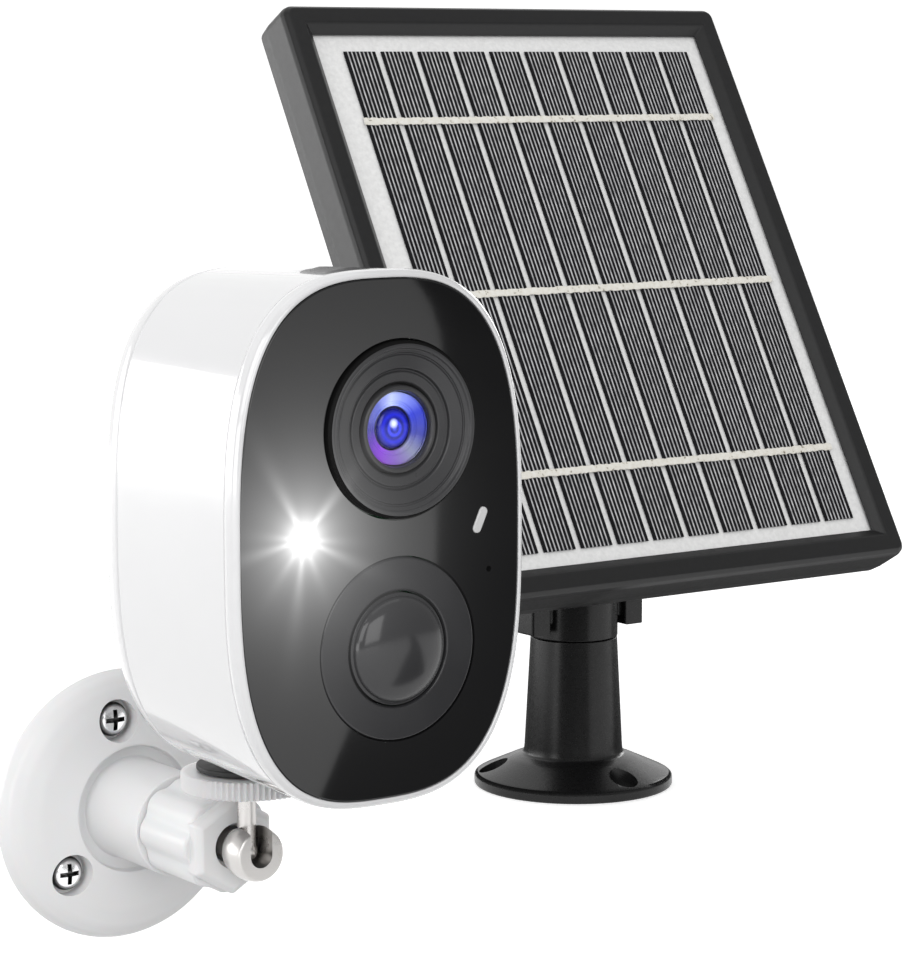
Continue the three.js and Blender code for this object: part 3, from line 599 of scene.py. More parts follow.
def lamp_surface():
    surface = Surface("clear_plastic", (1, 1, 1), 0.1)
    return surface.glow(9.0, (1, 0.99, 0.97)).vary_roughness(300, 0.03).material


def window_surface():
    surface = Surface("status_window", (0.5, 0.5, 0.5), 0.35)
    return surface.glow(0.12, (0.8, 0.8, 0.8)).vary_color(400, 0.04).material


def bracket_surface():
    surface = Surface("white_plastic", (0.8, 0.8, 0.805), 0.36, Subsurface_Weight=0.08)
    surface.set("Subsurface Scale", 2 * MM)
    return surface.vary_roughness(150, 0.06).vary_color(35, 0.02).grain(3200, 0.18, 0.03).material


def steel_surface():
    surface = Surface("steel", (0.5, 0.487, 0.475), 0.28, 1.0)
    return surface.vary_roughness(120, 0.02).vary_color(60, 0.02).material


def chrome_surface():
    surface = Surface("chrome", (0.78, 0.78, 0.79), 0.14, 1.0)
    return surface.vary_roughness(700, 0.05).grain(1800, 0.08, 0.02).material


def screw_shade_surface():
    """Bright screw heads with painted shade: their recess and underside lie further back and are painted
    dark.
    """
    surface = Surface("screw_chrome_painted_shade", (0.78, 0.78, 0.79), 0.18, 1.0)
    depth = surface.split(surface.coordinates)[1]
    # Painted shade: darker further back, in the cross recess and under the head.
    color = surface.ramp(surface.span(depth, (ARM.y - 5.05) * MM, (ARM.y - 4.35) * MM), [
        (0.0, (0.8, 0.8, 0.81)),
        (1.0, (0.07, 0.07, 0.07)),
    ])
    surface.link(color, "Base Color")
    return surface.vary_roughness(700, 0.05).grain(1800, 0.08, 0.02).material


def brass_surface():
    surface = Surface("brass", (0.7, 0.5, 0.22), 0.3, 1.0)
    return surface.vary_roughness(600, 0.08).vary_color(200, 0.08).material


def rubber_surface(name, shade):
    surface = Surface(name, (shade, shade, shade * 1.02), 0.65)
    return surface.vary_roughness(300, 0.08).vary_color(120, 0.05).grain(3500, 0.3, 0.05).material


def satin_surface(name, shade, roughness):
    surface = Surface(name, (shade, shade, shade * 1.03), roughness, Specular_IOR_Level=0.32)
    return surface.vary_roughness(900, 0.03).vary_color(700, 0.08).grain(4200, 0.1, 0.015).material


def sheet_surface():
    surface = Surface("panel_sheet", (0.86, 0.86, 0.855), 0.5)
    return surface.vary_color(900, 0.06).vary_roughness(300, 0.07).grain(1600, 0.4, 0.06).material


strip_low, strip_high = box_mm("cell_strip_01")
STRIP_LEFTS = sorted(box_mm(f"cell_strip_{i:02d}")[0].x for i in range(1, 11))
STRIP_PITCH = STRIP_LEFTS[1] - STRIP_LEFTS[0]
STRIP_WIDTH = strip_high.x - strip_low.x
FINGERS = 8  # silver lines along each strip


def cell_surface():
    """Dark silicon with fine silver fingers along each strip and a faint mottle."""
    surface = Surface("solar_cell", (0.012, 0.012, 0.016), 0.35, Specular_IOR_Level=0.15)
    x = surface.split(surface.coordinates)[0]
    strips = surface.math("DIVIDE", surface.math("SUBTRACT", x, STRIP_LEFTS[0] * MM), STRIP_PITCH * MM)
    across = surface.math("MULTIPLY", surface.math("FRACT", strips), STRIP_PITCH / STRIP_WIDTH)
    step = surface.math("FRACT", surface.math("MULTIPLY", across, FINGERS))
    off = surface.math("MINIMUM", step, surface.math("SUBTRACT", 1, step))
    past_left = surface.math("GREATER_THAN", across, 0.04)
    before_right = surface.math("LESS_THAN", across, 0.96)
    inside = surface.math("MULTIPLY", past_left, before_right)
    finger = surface.math("MULTIPLY", surface.span(off, 0.13, 0.2, 1, 0), inside)
    mottle = surface.noise(350, 4)
    speck = surface.noise(1800, 2, (1, 0.25, 0.25))
    silicon = surface.ramp(mottle, [(0.3, (0.002, 0.002, 0.003)), (0.7, (0.008, 0.008, 0.01))])
    silver = surface.ramp(speck, [(0.3, (0.3, 0.3, 0.31)), (0.7, (0.66, 0.66, 0.67))])
    surface.link(surface.mix(finger, silicon, silver), "Base Color")
    return surface.vary_roughness(300, 0.06).material


def solder_surface():
    """Tinned ribbon: bright, with a few dull brown specks."""
    surface = Surface("solder", (0.86, 0.84, 0.77), 0.45, 0.15)
    color = surface.ramp(surface.noise(900, 4), [
        (0.28, (0.25, 0.22, 0.17)),
        (0.38, (0.83, 0.8, 0.72)),
        (0.8, (0.93, 0.92, 0.88)),
    ])
    surface.link(color, "Base Color")
    return surface.grain(1500, 0.5, 0.15).material


def board_surface():
    surface = Surface("circuit_board", (0.03, 0.16, 0.07), 0.35)
    return surface.vary_color(900, 0.5, (1, 0.1, 1)).vary_roughness(400, 0.1).material


def wrap_surface():
    surface = Surface("cell_wrap", (0.06, 0.2, 0.45), 0.3)
    return surface.vary_color(150, 0.1).vary_roughness(250, 0.08).grain(800, 0.1, 0.05).material


surfaces = {
    "white_shell": shell_surface(),
    "black_face": face_surface(),
    "dark_plastic": dark_surface(),
    "lens_glass": glass_surface(),
    "pir_plastic": pir_surface(),
    "clear_plastic": lamp_surface(),
    "status_window": window_surface(),
    "steel": steel_surface(),
    "circuit_board": board_surface(),
    "cell_wrap": wrap_surface(),
    "black_rubber": rubber_surface("black_rubber", 0.018),
    "grey_rubber": rubber_surface("grey_rubber", 0.36),
    "chrome": chrome_surface(),
    "brass": brass_surface(),
    "white_plastic": bracket_surface(),
    "black_satin": satin_surface("black_satin", 0.008, 0.28),
    "frame_black": satin_surface("frame_black", 0.013, 0.36),
    "panel_sheet": sheet_surface(),
    "solar_cell": cell_surface(),
    "solder": solder_surface(),
}
coating_with_reflection = coating_reflection_surface()
element = element_surface()
painted_shade_trim = painted_shade_surface()
screw_chrome_painted_shade = screw_shade_surface()

for row in frame["record"]["subparts"]:
    node = frame["nodes"][row["node"]]
    node.data.materials.clear()
    node.data.materials.append(surfaces[row["material_slot"]])


def show(piece, body, slot, *nodes, material=None):
    """Gives the piece its material, its body and the CAD nodes that it stands for."""
    piece.data.materials.clear()
    piece.data.materials.append(material or surfaces[slot])
    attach(piece, body)
    weighted = piece.modifiers.new("normals", "WEIGHTED_NORMAL")
    weighted.keep_sharp = True
    if nodes:
        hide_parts(*nodes)
    return piece


# ---------------- camera casing

HOUSING_FRONT = 3.45
HOUSING_MIDDLE = 20
HOUSING_REAR = 42.4
HOUSING_LIP = 1.3  # depth of the step that takes the rear shell
REAR_GAP = 0.12
WALL = 2.2
FRONT_INSET = 0.2
MIDDLE_INSET = 0.75
REAR_INSET = 1.5
COVER_INSET = 1.6
COVER_THICKNESS = 2.4
CASE_SCREW_X = 21.5
CASE_SCREW_Z = 31
PORT_Y = 29
BUTTON_Y = 23.8
LENS_HOLE = 16.2
PIR_HOLE = 16.75
SPOT_HOLE = 2.72
MICROPHONE_HOLE = 0.55
MICROPHONE = FACE + Vector((23, 0, -7.1))
STATUS_LENGTH = 5
STATUS_WIDTH = 1.8
STATUS_LEAN = math.radians(25)


def screw_places():
    corners = ((1, 1), (-1, 1), (-1, -1), (1, -1))
    return [(right * CASE_SCREW_X, up * CASE_SCREW_Z) for right, up in corners]


def make_bezel():
    profile = rounded([
        (0.2, 3.4), (0.0, 2.2), (0.2, 0.7), (0.75, 0.05), (1.1, -0.1), (1.45, 0.0), (1.5, 0.35),
        (1.5, 3.4),
    ], 0.35, 4, True)
    return lofted("bezel_ring", body_outline, profile, FACE, ring=True)


def make_cover():
    def outline(inset):
        return body_outline(COVER_INSET + inset)

    plate = lofted("face_panel", outline, slab_stations(0, COVER_THICKNESS, 0.25), FACE)
    slot = pill(STATUS_LENGTH + GAP, STATUS_WIDTH + GAP, STATUS_LEAN)
    tools = [
        rod("tool", LENS_HOLE, -1, 4, LENS, sides=FINE),
        rod("tool", PIR_HOLE, -1, 4, PIR, sides=FINE),
        rod("tool", SPOT_HOLE, -1, 4, SPOT),
        rod("tool", MICROPHONE_HOLE, -1, 4, MICROPHONE, sides=24),
        lofted("tool", slot, [(0, -1), (0, 4)], STATUS),
    ]
    return carve(plate, *tools)


def make_housing():
    step = HOUSING_REAR - HOUSING_LIP
    profile = rounded([
        (FRONT_INSET, HOUSING_FRONT), (MIDDLE_INSET, HOUSING_MIDDLE),
        (REAR_INSET, HOUSING_REAR), (REAR_INSET + 1, HOUSING_REAR), (REAR_INSET + 1, step),
        (REAR_INSET + WALL, step),
        (MIDDLE_INSET + WALL, HOUSING_MIDDLE), (FRONT_INSET + WALL, HOUSING_FRONT),
    ], 0.22, 3, True)
    shell = lofted("side_shell", body_outline, profile, FACE, ring=True)
    port = block("tool", (-4.8, PORT_Y - 2.2, -50), (4.8, PORT_Y + 2.2, -43), FACE)
    hole = rod("tool", 2, -50, -43, FACE + Vector((0, BUTTON_Y, 0)), ALONG_Z)
    return carve(shell, port, hole)


def make_rear():
    start = HOUSING_REAR + REAR_GAP
    profile = rounded([
        (8, 49.2), (5.6, 48), (4.2, 46), (REAR_INSET + WALL, start), (REAR_INSET + 0.02, start),
        (REAR_INSET + 0.15, 44.6), (2.5, 48.1), (4.6, 50.2), (8, 51.4),
    ], 2.2, 5)
    shell = lofted("back_shell", body_outline, profile, FACE)
    boss = turned("tool", rounded([(0, -48), (5.4, -48), (5.4, -38), (0, -38)], 0.5), BOSS, ALONG_Z)
    behind = block("tool", (-8, start + 0.02, -52), (8, 56, -36), FACE)
    combine(boss, [behind], "INTERSECT")
    weld(shell, boss)
    bore = rod("tool", 3.1, -50, -37, BOSS, ALONG_Z)
    recesses = [rod("tool", 2.75, 48, 54, FACE + Vector((x, 0, z))) for x, z in screw_places()]
    return carve(shell, bore, *recesses)


def cross_tools(origin, start, end, reach, half):
    """Two crossed blades that taper towards their end, for a cross recess."""

    def blade(half_width, half_height):
        def outline(shrink):
            corners = ((-1, -1), (1, -1), (1, 1), (-1, 1))
            return [((1 - shrink) * x * half_width, (1 - shrink) * z * half_height) for x, z in corners]

        return lofted("tool", outline, [(0, start), (0.35, end)], origin)

    return [blade(reach, half), blade(half, reach)]


def make_case_screw(i, x, z):
    origin = FACE + Vector((x, 0, z))
    head = turned(f"rear_screw_{i}", rounded([
        (0, 30), (1.5, 30.6), (1.5, 48.25), (2.4, 48.25), (2.4, 49.1), (1.5, 49.8), (0, 49.9),
    ], 0.3), origin, sides=TINY)
    return carve(head, *cross_tools(origin, 50.4, 48.9, 1.5, 0.33))


show(make_bezel(), "camera", "white_shell", "front_bezel")
show(make_cover(), "camera", "black_face", "front_cover")
show(make_housing(), "camera", "white_shell", "main_housing")
show(make_rear(), "camera", "white_shell", "rear_cover")
for number, (x, z) in enumerate(screw_places(), 1):
    show(make_case_screw(number, x, z), "camera", "chrome", f"case_screw_{number}")

# ---------------- lens, sensor, lamps


def make_hood():
    profile = rounded([
        (15.8, 0.9), (15.75, -0.7), (15.4, -1.2), (15.0, -1.35), (14.55, -1.3), (14.3, -0.75),
        (13.75, -0.6), (13.65, -0.25), (13.35, -0.25), (13.2, -0.5), (10.9, 0.05), (10.7, 0.7),
        (10.3, 0.75), (10.2, 0.2), (8.5, 0.35), (8.2, 0.9), (8.2, 9), (15.8, 9),
    ], 0.22, 4, True)
    return turned("lens_funnel", profile, LENS, ring=True)


def make_hood_shade_skin():
    """A matt skin on the outside of the lens ring, carrying painted shade for the dark crescent beside it.
    """
    profile = rounded([
        (15.85, 0.95), (15.85, -0.75), (15.5, -1.25), (15.3, -1.3), (15.2, -1.0), (15.2, 0.95),
    ], 0.12, 3, True)
    return turned("lens_funnel_shade_skin", profile, LENS, ring=True)


def make_barrel():
    profile = rounded([
        (7.9, 0.9), (7.75, 0.1), (7.4, -0.1), (7.0, 0.0), (6.75, 0.5), (6.7, 3.2), (4.2, 3.4),
        (4.2, 16), (7.9, 16),
    ], 0.2, 4, True)
    return turned("lens_tube", profile, LENS, ring=True)


def make_glass():
    rim = 6.4
    front = [(rim * t, -0.1 + 1.1 * t ** 2) for t in spread(0, 1, 14)]
    back = [(rim * t, 0.5 + 1.0 * t ** 2) for t in spread(1, 0, 14)]
    return turned("lens_dome", front + back, LENS)


def make_coated_cone():
    profile = rounded([
        (6.5, 1.7), (6.2, 1.65), (4.9, 2.0), (4.8, 2.3), (4.5, 2.35), (4.4, 2.15), (3.95, 2.3),
        (3.95, 2.9), (6.5, 2.9),
    ], 0.12, 3, True)
    return turned("lens_coated_ring", profile, LENS, ring=True)


def make_element():
    crown = [(3.5 * math.sin(a), 2.6 - 0.8 * math.cos(a)) for a in spread(QUARTER, 0, 12)]
    return turned("inner_element", [(0, 4.6), (3.75, 4.6), (3.75, 2.7)] + crown, LENS)


def make_pir_ring():
    profile = rounded([
        (16.55, 0.35), (16.3, 0.02), (10.7, 0.02), (10.4, 0.4), (10.4, 3), (16.55, 3),
    ], 0.2, 4, True)
    return turned("sensor_ring", profile, PIR, ring=True)


def make_pir_dome():
    outer = [(9.6 * math.sin(a), 0.1 - 3.3 * math.cos(a)) for a in spread(0, QUARTER, 16)]
    inner = [(9.0 * math.sin(a), 0.3 - 2.7 * math.cos(a)) for a in spread(QUARTER, 0, 16)]
    collar = rounded([outer[-1], (9.6, 0.15), (10.1, 0.2), (10.1, 2.8), (9.0, 2.8), inner[0]], 0.12, 3)
    return turned("sensor_dome", outer[:-1] + collar + inner[1:], PIR)


def make_spot():
    dome = [(2.65 * math.sin(a), 0.5 - 1.05 * math.cos(a)) for a in spread(0, QUARTER, 8)]
    barrel = [(2.65, 3), (1.9, 3.4), (1.9, 8.6), (0, 8.6)]
    return turned("spotlight_dome", dome + barrel, SPOT, sides=TINY)


def make_status():
    outline = pill(STATUS_LENGTH, STATUS_WIDTH, STATUS_LEAN)
    return lofted("status_pill", outline, slab_stations(-0.15, 3, 0.25), STATUS)


show(make_hood(), "camera", "dark_plastic", "lens_hood")
# The skin's near-black finish is painted shade.
show(make_hood_shade_skin(), "camera", "dark_plastic", material=painted_shade_trim)
show(make_barrel(), "camera", "dark_plastic", "lens_barrel")
show(make_glass(), "camera", "lens_glass", "lens_glass")
show(make_element(), "camera", "lens_glass", "lens_inner_element", material=element)
show(make_coated_cone(), "camera", "lens_glass", material=coating_with_reflection)
show(make_pir_ring(), "camera", "pir_plastic", "pir_ring")
show(make_pir_dome(), "camera", "pir_plastic", "pir_dome")
show(make_spot(), "camera", "clear_plastic", "spotlight_lens")
show(make_status(), "camera", "status_window", "status_window")

# ---------------- underside and stud


def make_flap():
    low, high = box_mm("port_cover")
    origin = Vector((FACE.x, (low.y + high.y) / 2, 0))
    top = FACE.z - 47.6
    # The outline's second axis runs forwards once the slab lies flat.
    outline = pill(high.y - low.y, 11.6)
    plate = lofted("port_flap", outline, slab_stations(low.z, top, 0.5), origin, ALONG_Z)
    plug = block("tool", (-4, PORT_Y - 1.3, -49), (4, PORT_Y + 1.3, -45.6), FACE)
    return weld(plate, plug)


def make_button():
    low, high = heights("power_button")
    profile = rounded([(0, low), (1.7, low), (1.7, high), (0, high)], 0.3)
    return turned("button_cap", profile, Vector((FACE.x, middle("power_button").y, 0)), ALONG_Z, TINY)


def make_pad():
    low, high = heights("mount_pad")
    profile = rounded([(2.8, low), (9.5, low), (9.5, high), (2.8, high)], 0.35, 4, True)
    return turned("rubber_pad", profile, STUD, ALONG_Z, ring=True)


def make_wheel():
    low, high = heights("thumbwheel")
    ribs = lobed(12.5, 0.85, lobes=68, steps_per_lobe=6, sharpness=0.6)
    wheel = lofted("ribbed_wheel", ribs, slab_stations(low, high, 0.4), STUD, ALONG_Z)
    return carve(wheel, rod("tool", 2.1, low - 1, high + 1, STUD, ALONG_Z))


def make_stud():
    """A stud on a round foot that sits in the middle of the ball."""
    top = heights("tilt_stud")[1]
    radius, foot = 1.8, 2.1
    join = math.asin(radius / foot)
    ball = [(foot * math.sin(a), foot * math.cos(a)) for a in spread(math.pi, join, 12)]
    profile = ball + [(radius, top - 0.5), (radius - 0.5, top), (0, top)]
    return turned("steel_stud", profile, STUD, ALONG_Z, TINY)


show(make_flap(), "port_cover", "grey_rubber", "port_cover")
show(make_button(), "power_button", "grey_rubber", "power_button")
show(make_pad(), "camera", "black_rubber", "mount_pad")
show(make_wheel(), "thumbwheel", "white_plastic", "thumbwheel")
show(make_stud(), "stud", "steel", "tilt_stud")

# ---------------- bracket

WALL_SCREW_CIRCLE = 18.5
WALL_SCREW_ANGLES = (100, 220, 340)
SLOT = 2.4  # half the width of the ball's slot
NUT_FRONT = box_mm("lock_nut")[0].y
NUT_REAR = box_mm("lock_nut")[1].y


def wall_screw_places():
    turns = [math.radians(a) for a in WALL_SCREW_ANGLES]
    return [ARM + WALL_SCREW_CIRCLE * Vector((math.cos(a), 0, math.sin(a))) for a in turns]


def make_plate():
    disc = rounded([
        (0, 0), (27.7, 0), (27.7, -1.5), (26.7, -3.6), (24.6, -5.0), (21, -6.1), (13.9, -7.2),
    ], 0.8, 4)
    neck = rounded([
        (13.3, -7.3), (12.9, -7.2), (12.7, -5.0), (10.4, -5.0), (10.2, -7), (10.2, -25),
        (8.3, -25), (8.3, -40), (0, -40),
    ], 0.3, 3)
    plate = turned("wall_disc", disc + neck, ARM, sides=128)
    tools = [rod("tool", 4.3, -9, -2.5, place) for place in wall_screw_places()]
    tools += [rod("tool", 2, -3, 1, place) for place in wall_screw_places()]
    tools.append(rod("tool", 3.3, -41, -29, ARM))
    return carve(plate, *tools)


def make_wall_screw(number, place):
    head = turned(f"plate_screw_{number}", rounded([
        (0, -0.4), (1.7, -0.4), (1.7, -2.9), (3.5, -2.9), (3.5, -4.0), (2.7, -5.0), (0, -5.4),
    ], 0.5), place, sides=TINY)
    return carve(head, *cross_tools(place, -6.0, -3.9, 2.5, 0.55))


def make_nut():
    flutes = lobed(9.8, 0.75, lobes=8, steps_per_lobe=18, sharpness=1.6)
    grip = lofted("clamp_nut", flutes, slab_stations(-42.6, NUT_REAR, 0.6), ARM)
    taper = [(0.4, -41), (0.2, -42.9), (0.2, -44.3), (1.3, NUT_FRONT)]
    hexagon = lofted("tool", polygon(10.0, 6, math.radians(30)), taper, ARM)
    bevelled(hexagon, 0.45)
    bore = turned("tool", [
        (0, -47), (5.3, -47), (3.7, -43.6), (3.7, -41.2), (8.6, -41.2), (8.6, -24), (0, -24),
    ], ARM)
    return carve(weld(grip, hexagon), bore)


def make_ball():
    front, end = box_mm("ball_head")[0].y, box_mm("ball_head")[1].y
    profile = rounded([
        (0, front), (4.75, front), (5.0, front + 0.25), (5.3, front + 1.5), (5.45, front + 3.0),
        (5.3, front + 4.9), (4.7, front + 6.8), (3.7, front + 8.4), (3, front + 9.3),
        (3, end), (0, end),
    ], 0.6, 4)
    axis = Vector((ARM.x, 0, ARM.z))
    body = turned("slotted_ball", profile, axis)
    groove = rod("tool", SLOT, front - 1, STUD.y + SLOT, axis)
    opening = block("tool", (-SLOT, front - 1, 0), (SLOT, STUD.y + SLOT, 7), axis)
    return bevelled(carve(body, groove, opening), 0.2, 2)


show(make_plate(), "root", "white_plastic", "wall_plate")
for number, place in enumerate(wall_screw_places(), 1):
    show(make_wall_screw(number, place), "root", "chrome", f"wall_screw_{number}", material=screw_chrome_painted_shade)
show(make_nut(), "lock_nut", "white_plastic", "lock_nut")
show(make_ball(), "ball", "steel", "ball_head")

# ---------------- solar panel

WINDOW_WIDTH = 120
WINDOW_HEIGHT = 141.6
BORDER = 7.5
FRAME_BACK = 10.8
PIVOT_STANDOFF = 18
LUG_HALF_WIDTH = 11.3
BACK_INSET = 3
BACK_RIBS = (-42, -21, 21, 42)
LEAD_PLACE = PANEL + PANEL_TURN @ Vector((0, 0, 22))
PIVOT_BORE = 2.8
MARGIN_TOP = 4.4
MARGIN_BOTTOM = 3.9
MARGIN_LEFT = 7.8
MARGIN_RIGHT = 4.2
RIBBON_PITCH = 0.354  # as a share of the cells' height
RIBBON_OVERHANG = 0.8
RIBBON_HALF = 0.95


def make_frame():
    outline = round_rectangle(WINDOW_WIDTH / 2 + BORDER, WINDOW_HEIGHT / 2 + BORDER, 3)
    profile = rounded([
        (0.4, FRAME_BACK), (0, 7), (0, 0), (0.35, -1.3), (1.3, -2.2), (5.0, -2.2), (5.5, -1.9),
        (7.1, -0.4), (7.5, -0.1), (7.5, 0.3), (2.8, 0.3), (2.8, FRAME_BACK),
    ], 0.3, 3, True)
    return lofted("panel_rim", outline, profile, PANEL, PANEL_TURN, ring=True)


def make_ribbon(number):
    """A tinned ribbon with slightly ragged edges."""
    dice = random.Random(40 + number)
    left = -WINDOW_WIDTH / 2 + MARGIN_LEFT - RIBBON_OVERHANG
    right = WINDOW_WIDTH / 2 - MARGIN_RIGHT + RIBBON_OVERHANG
    height = WINDOW_HEIGHT - MARGIN_TOP - MARGIN_BOTTOM
    centre = WINDOW_HEIGHT / 2 - MARGIN_TOP - height * (0.5 + (number - 1) * RIBBON_PITCH)
    bm = bmesh.new()
    loops = []
    for x in spread(left, right, 180):
        top = centre + RIBBON_HALF + dice.uniform(-0.16, 0.16)
        low = centre - RIBBON_HALF + dice.uniform(-0.16, 0.16)
        front = -0.12 + dice.uniform(-0.03, 0.03)
        crown = -0.2 + dice.uniform(-0.04, 0.04)
        section = [(0.05, low), (front, low + 0.12), (crown, centre), (front, top - 0.12), (0.05, top)]
        loops.append([bm.verts.new((x, y, z)) for y, z in section])
    bridge(bm, loops, False)
    bm.faces.new(loops[0])
    bm.faces.new(loops[-1])
    return new_object(f"solder_ribbon_{number + 1}", bm, PANEL, PANEL_TURN)


def lug_outline(inset):
    """The hinge lug from the side: the loft's own axis becomes X, and its first axis -Y."""
    behind = FRAME_BACK + PIVOT_STANDOFF
    up = (STAND.y - PANEL.y - behind * math.cos(PANEL_TILT)) / math.sin(PANEL_TILT)
    corners = [(-1, 12), (14, 7.5), (21.5, 6), (25, 0), (21.5, -6), (14, -7.5), (-1, -12)]
    return [(-FRAME_BACK - y, up + z) for y, z in corners]


def make_rib(x):
    low = (x - 0.7, FRAME_BACK - 0.5, -66)
    high = (x + 0.7, FRAME_BACK + 0.9, 66)
    return block("tool", low, high, PANEL, PANEL_TURN)


def make_back():
    reach = BORDER - BACK_INSET
    outline = round_rectangle(WINDOW_WIDTH / 2 + reach, WINDOW_HEIGHT / 2 + reach, 1)
    plate = lofted("panel_back", outline, slab_stations(FRAME_BACK - 2, FRAME_BACK, 0.4), PANEL, PANEL_TURN)
    sides = [(0, -LUG_HALF_WIDTH), (0, LUG_HALF_WIDTH)]
    lug = bevelled(lofted("tool", lug_outline, sides, PANEL, PANEL_TURN @ ALONG_X), 1.0)
    weld(plate, lug, *[make_rib(x) for x in BACK_RIBS])
    bore = rod("tool", PIVOT_BORE, -13, 13, PIVOT, ALONG_X)
    outlet = rod("tool", 2.6, FRAME_BACK - 3, FRAME_BACK + 2, LEAD_PLACE, PANEL_TURN)
    return carve(plate, bore, outlet)


def make_gland():
    """A collar with four shrinking ribs, where the lead comes out."""
    profile = [(1.5, -1.8), (2.3, -1.8), (2.3, 0.3), (4.5, 0.3)]
    for k in range(4):
        start = 2.4 + 1.6 * k
        rib = 4.4 - 0.3 * k
        profile += [(rib, start), (rib - 0.6, start + 0.4)]
        profile += [(rib - 0.6, start + 1.0), (rib - 0.3, start + 1.2)]
    profile += [(2.6, 9), (1.5, 9)]
    profile = rounded([(radius, FRAME_BACK + along) for radius, along in profile], 0.2, 3, True)
    return turned("lead_collar", profile, LEAD_PLACE, PANEL_TURN, TINY, ring=True)


show(make_frame(), "panel", "frame_black", "panel_frame")
for number in range(3):
    show(make_ribbon(number), "panel", "solder", f"busbar_{number + 1}")
show(make_back(), "panel", "black_satin", "panel_back_cover")
show(make_gland(), "panel", "black_rubber", "lead_gland")

# ---------------- stand

stand_low, stand_high = box_mm("stand_base")
FOOT_RADIUS = (stand_high.x - stand_low.x) / 2
POLE_TOP = stand_high.z - STAND.z
FOOT_HOLE = 3.6
FOOT_HOLE_CIRCLE = 20.3
FOOT_HOLE_ANGLES = (-90, 30, 150)
BARREL_TOP = 55.7
FORK_INNER = 11.7  # from the middle of the fork to the inside of an arm
FORK_OUTER = 17.5
FORK_ROOT = 8.3 - STAND.z
HINGE_END = FORK_OUTER + GAP


def make_foot():
    profile = rounded([
        (0, 0), (FOOT_RADIUS, 0), (FOOT_RADIUS, 2.5), (FOOT_RADIUS - 1, 3.1), (15.6, 6.9),
        (12.6, 7.9), (12.35, 9.5), (10.9, POLE_TOP - 0.1), (10.8, POLE_TOP), (8, POLE_TOP),
        (8, 14), (0, 14),
    ], 0.7, 4)
    foot = turned("foot_and_pole", profile, STAND, ALONG_Z, 128)
    tools = []
    for angle in FOOT_HOLE_ANGLES:
        turn = math.radians(angle)
        place = STAND + FOOT_HOLE_CIRCLE * Vector((math.cos(turn), math.sin(turn), 0))
        tools.append(rod("tool", FOOT_HOLE, -1, 9, place, ALONG_Z))
    return bevelled(carve(foot, *tools), 0.25, 2)


def arm_outline(inset):
    """An arm of the fork from the side: upright, with a round end about the pivot."""
    half = FORK_HALF_DEPTH - inset
    top = PIVOT_Z - STAND.z
    end = [(-half * math.cos(a), top + half * math.sin(a)) for a in spread(0, math.pi, 20)]
    return [(half, FORK_ROOT + inset), (-half, FORK_ROOT + inset)] + end


def make_fork():
    barrel = turned("swivel_yoke", rounded([
        (0, 18), (7.6, 18), (7.6, POLE_TOP + 0.3), (10.8, POLE_TOP + 0.2), (11, POLE_TOP + 0.4),
        (11, BARREL_TOP), (0, BARREL_TOP),
    ], 0.5), STAND, ALONG_Z)
    arms = []
    for start, end in ((-FORK_OUTER, -FORK_INNER), (FORK_INNER, FORK_OUTER)):
        arms.append(lofted("tool", arm_outline, slab_stations(start, end, 0.6), STAND, ALONG_X))
    low = (1 - FORK_OUTER, -4.5, FORK_ROOT + 2)
    high = (FORK_OUTER - 1, 4.5, BARREL_TOP - 2)
    web = bevelled(block("tool", low, high, STAND), 0.6)
    weld(barrel, *arms, web)
    return carve(barrel, rod("tool", PIVOT_BORE, -FORK_OUTER - 1, FORK_OUTER + 1, PIVOT, ALONG_X))


def make_bolt():
    shank = rod("hinge_bolt", 2.5, -HINGE_END - 1, HINGE_END + 9, PIVOT, ALONG_X)
    head = lofted("tool", polygon(4.6, 6), slab_stations(-HINGE_END - 3.4, -HINGE_END, 0.4), PIVOT, ALONG_X)
    return weld(shank, head)


def make_knob():
    lobes = lobed(9, 2, lobes=6, steps_per_lobe=16)
    stations = slab_stations(HINGE_END + 1, HINGE_END + 11, 1.2, 5)
    grip = lofted("lobed_knob", lobes, stations, PIVOT, ALONG_X)
    collar = rod("tool", 5, HINGE_END, HINGE_END + 1.5, PIVOT, ALONG_X)
    bore = rod("tool", PIVOT_BORE, HINGE_END - 1, HINGE_END + 9.5, PIVOT, ALONG_X)
    return carve(weld(grip, collar), bore)


show(make_foot(), "root", "black_satin", "stand_base")
show(make_fork(), "fork", "black_satin", "swivel_fork")
show(make_bolt(), "fork", "steel", "pivot_bolt")
show(make_knob(), "knob", "black_satin", "clamp_knob")

# ---------------- stage, light and camera

# The lights, the camera and the flag are placed in metres.
AZIMUTH = math.radians(35.7)
ELEVATION = math.radians(7.6)
FACE_CENTRE = FACE * MM
EYE = FACE_CENTRE + Vector((-0.3159, -0.4610, 0.0848))  # where the photo was taken from
FOCAL_LENGTH_MM = 119.1
SENSOR_MM = 36


def make_floor():
    """A pale floor that curves up into a backdrop behind the object, in millimetres."""
    surface = Surface("floor_paint", (0.93, 0.93, 0.93), 0.7).glow(0.6).vary_color(3, 0.004)
    width, front, bend_start, bend, height = 6000, -4000, 1600, 900, 5000
    curve = [(bend_start + bend * math.sin(a), bend * (1 - math.cos(a))) for a in spread(0, QUARTER, 14)]
    section = [(front, 0)] + curve + [(bend_start + bend, height)]
    bm = bmesh.new()
    loops = [[bm.verts.new((x, y, z)) for y, z in section] for x in (-width, width)]
    for k in range(len(section) - 1):
        bm.faces.new([loops[0][k], loops[1][k], loops[1][k + 1], loops[0][k + 1]])
    floor = new_object("floor", bm, Vector((0, 0, FLOOR / MM - 0.05)), ALONG_Y)
    floor.data.materials.append(surface.material)
    floor.visible_diffuse = False


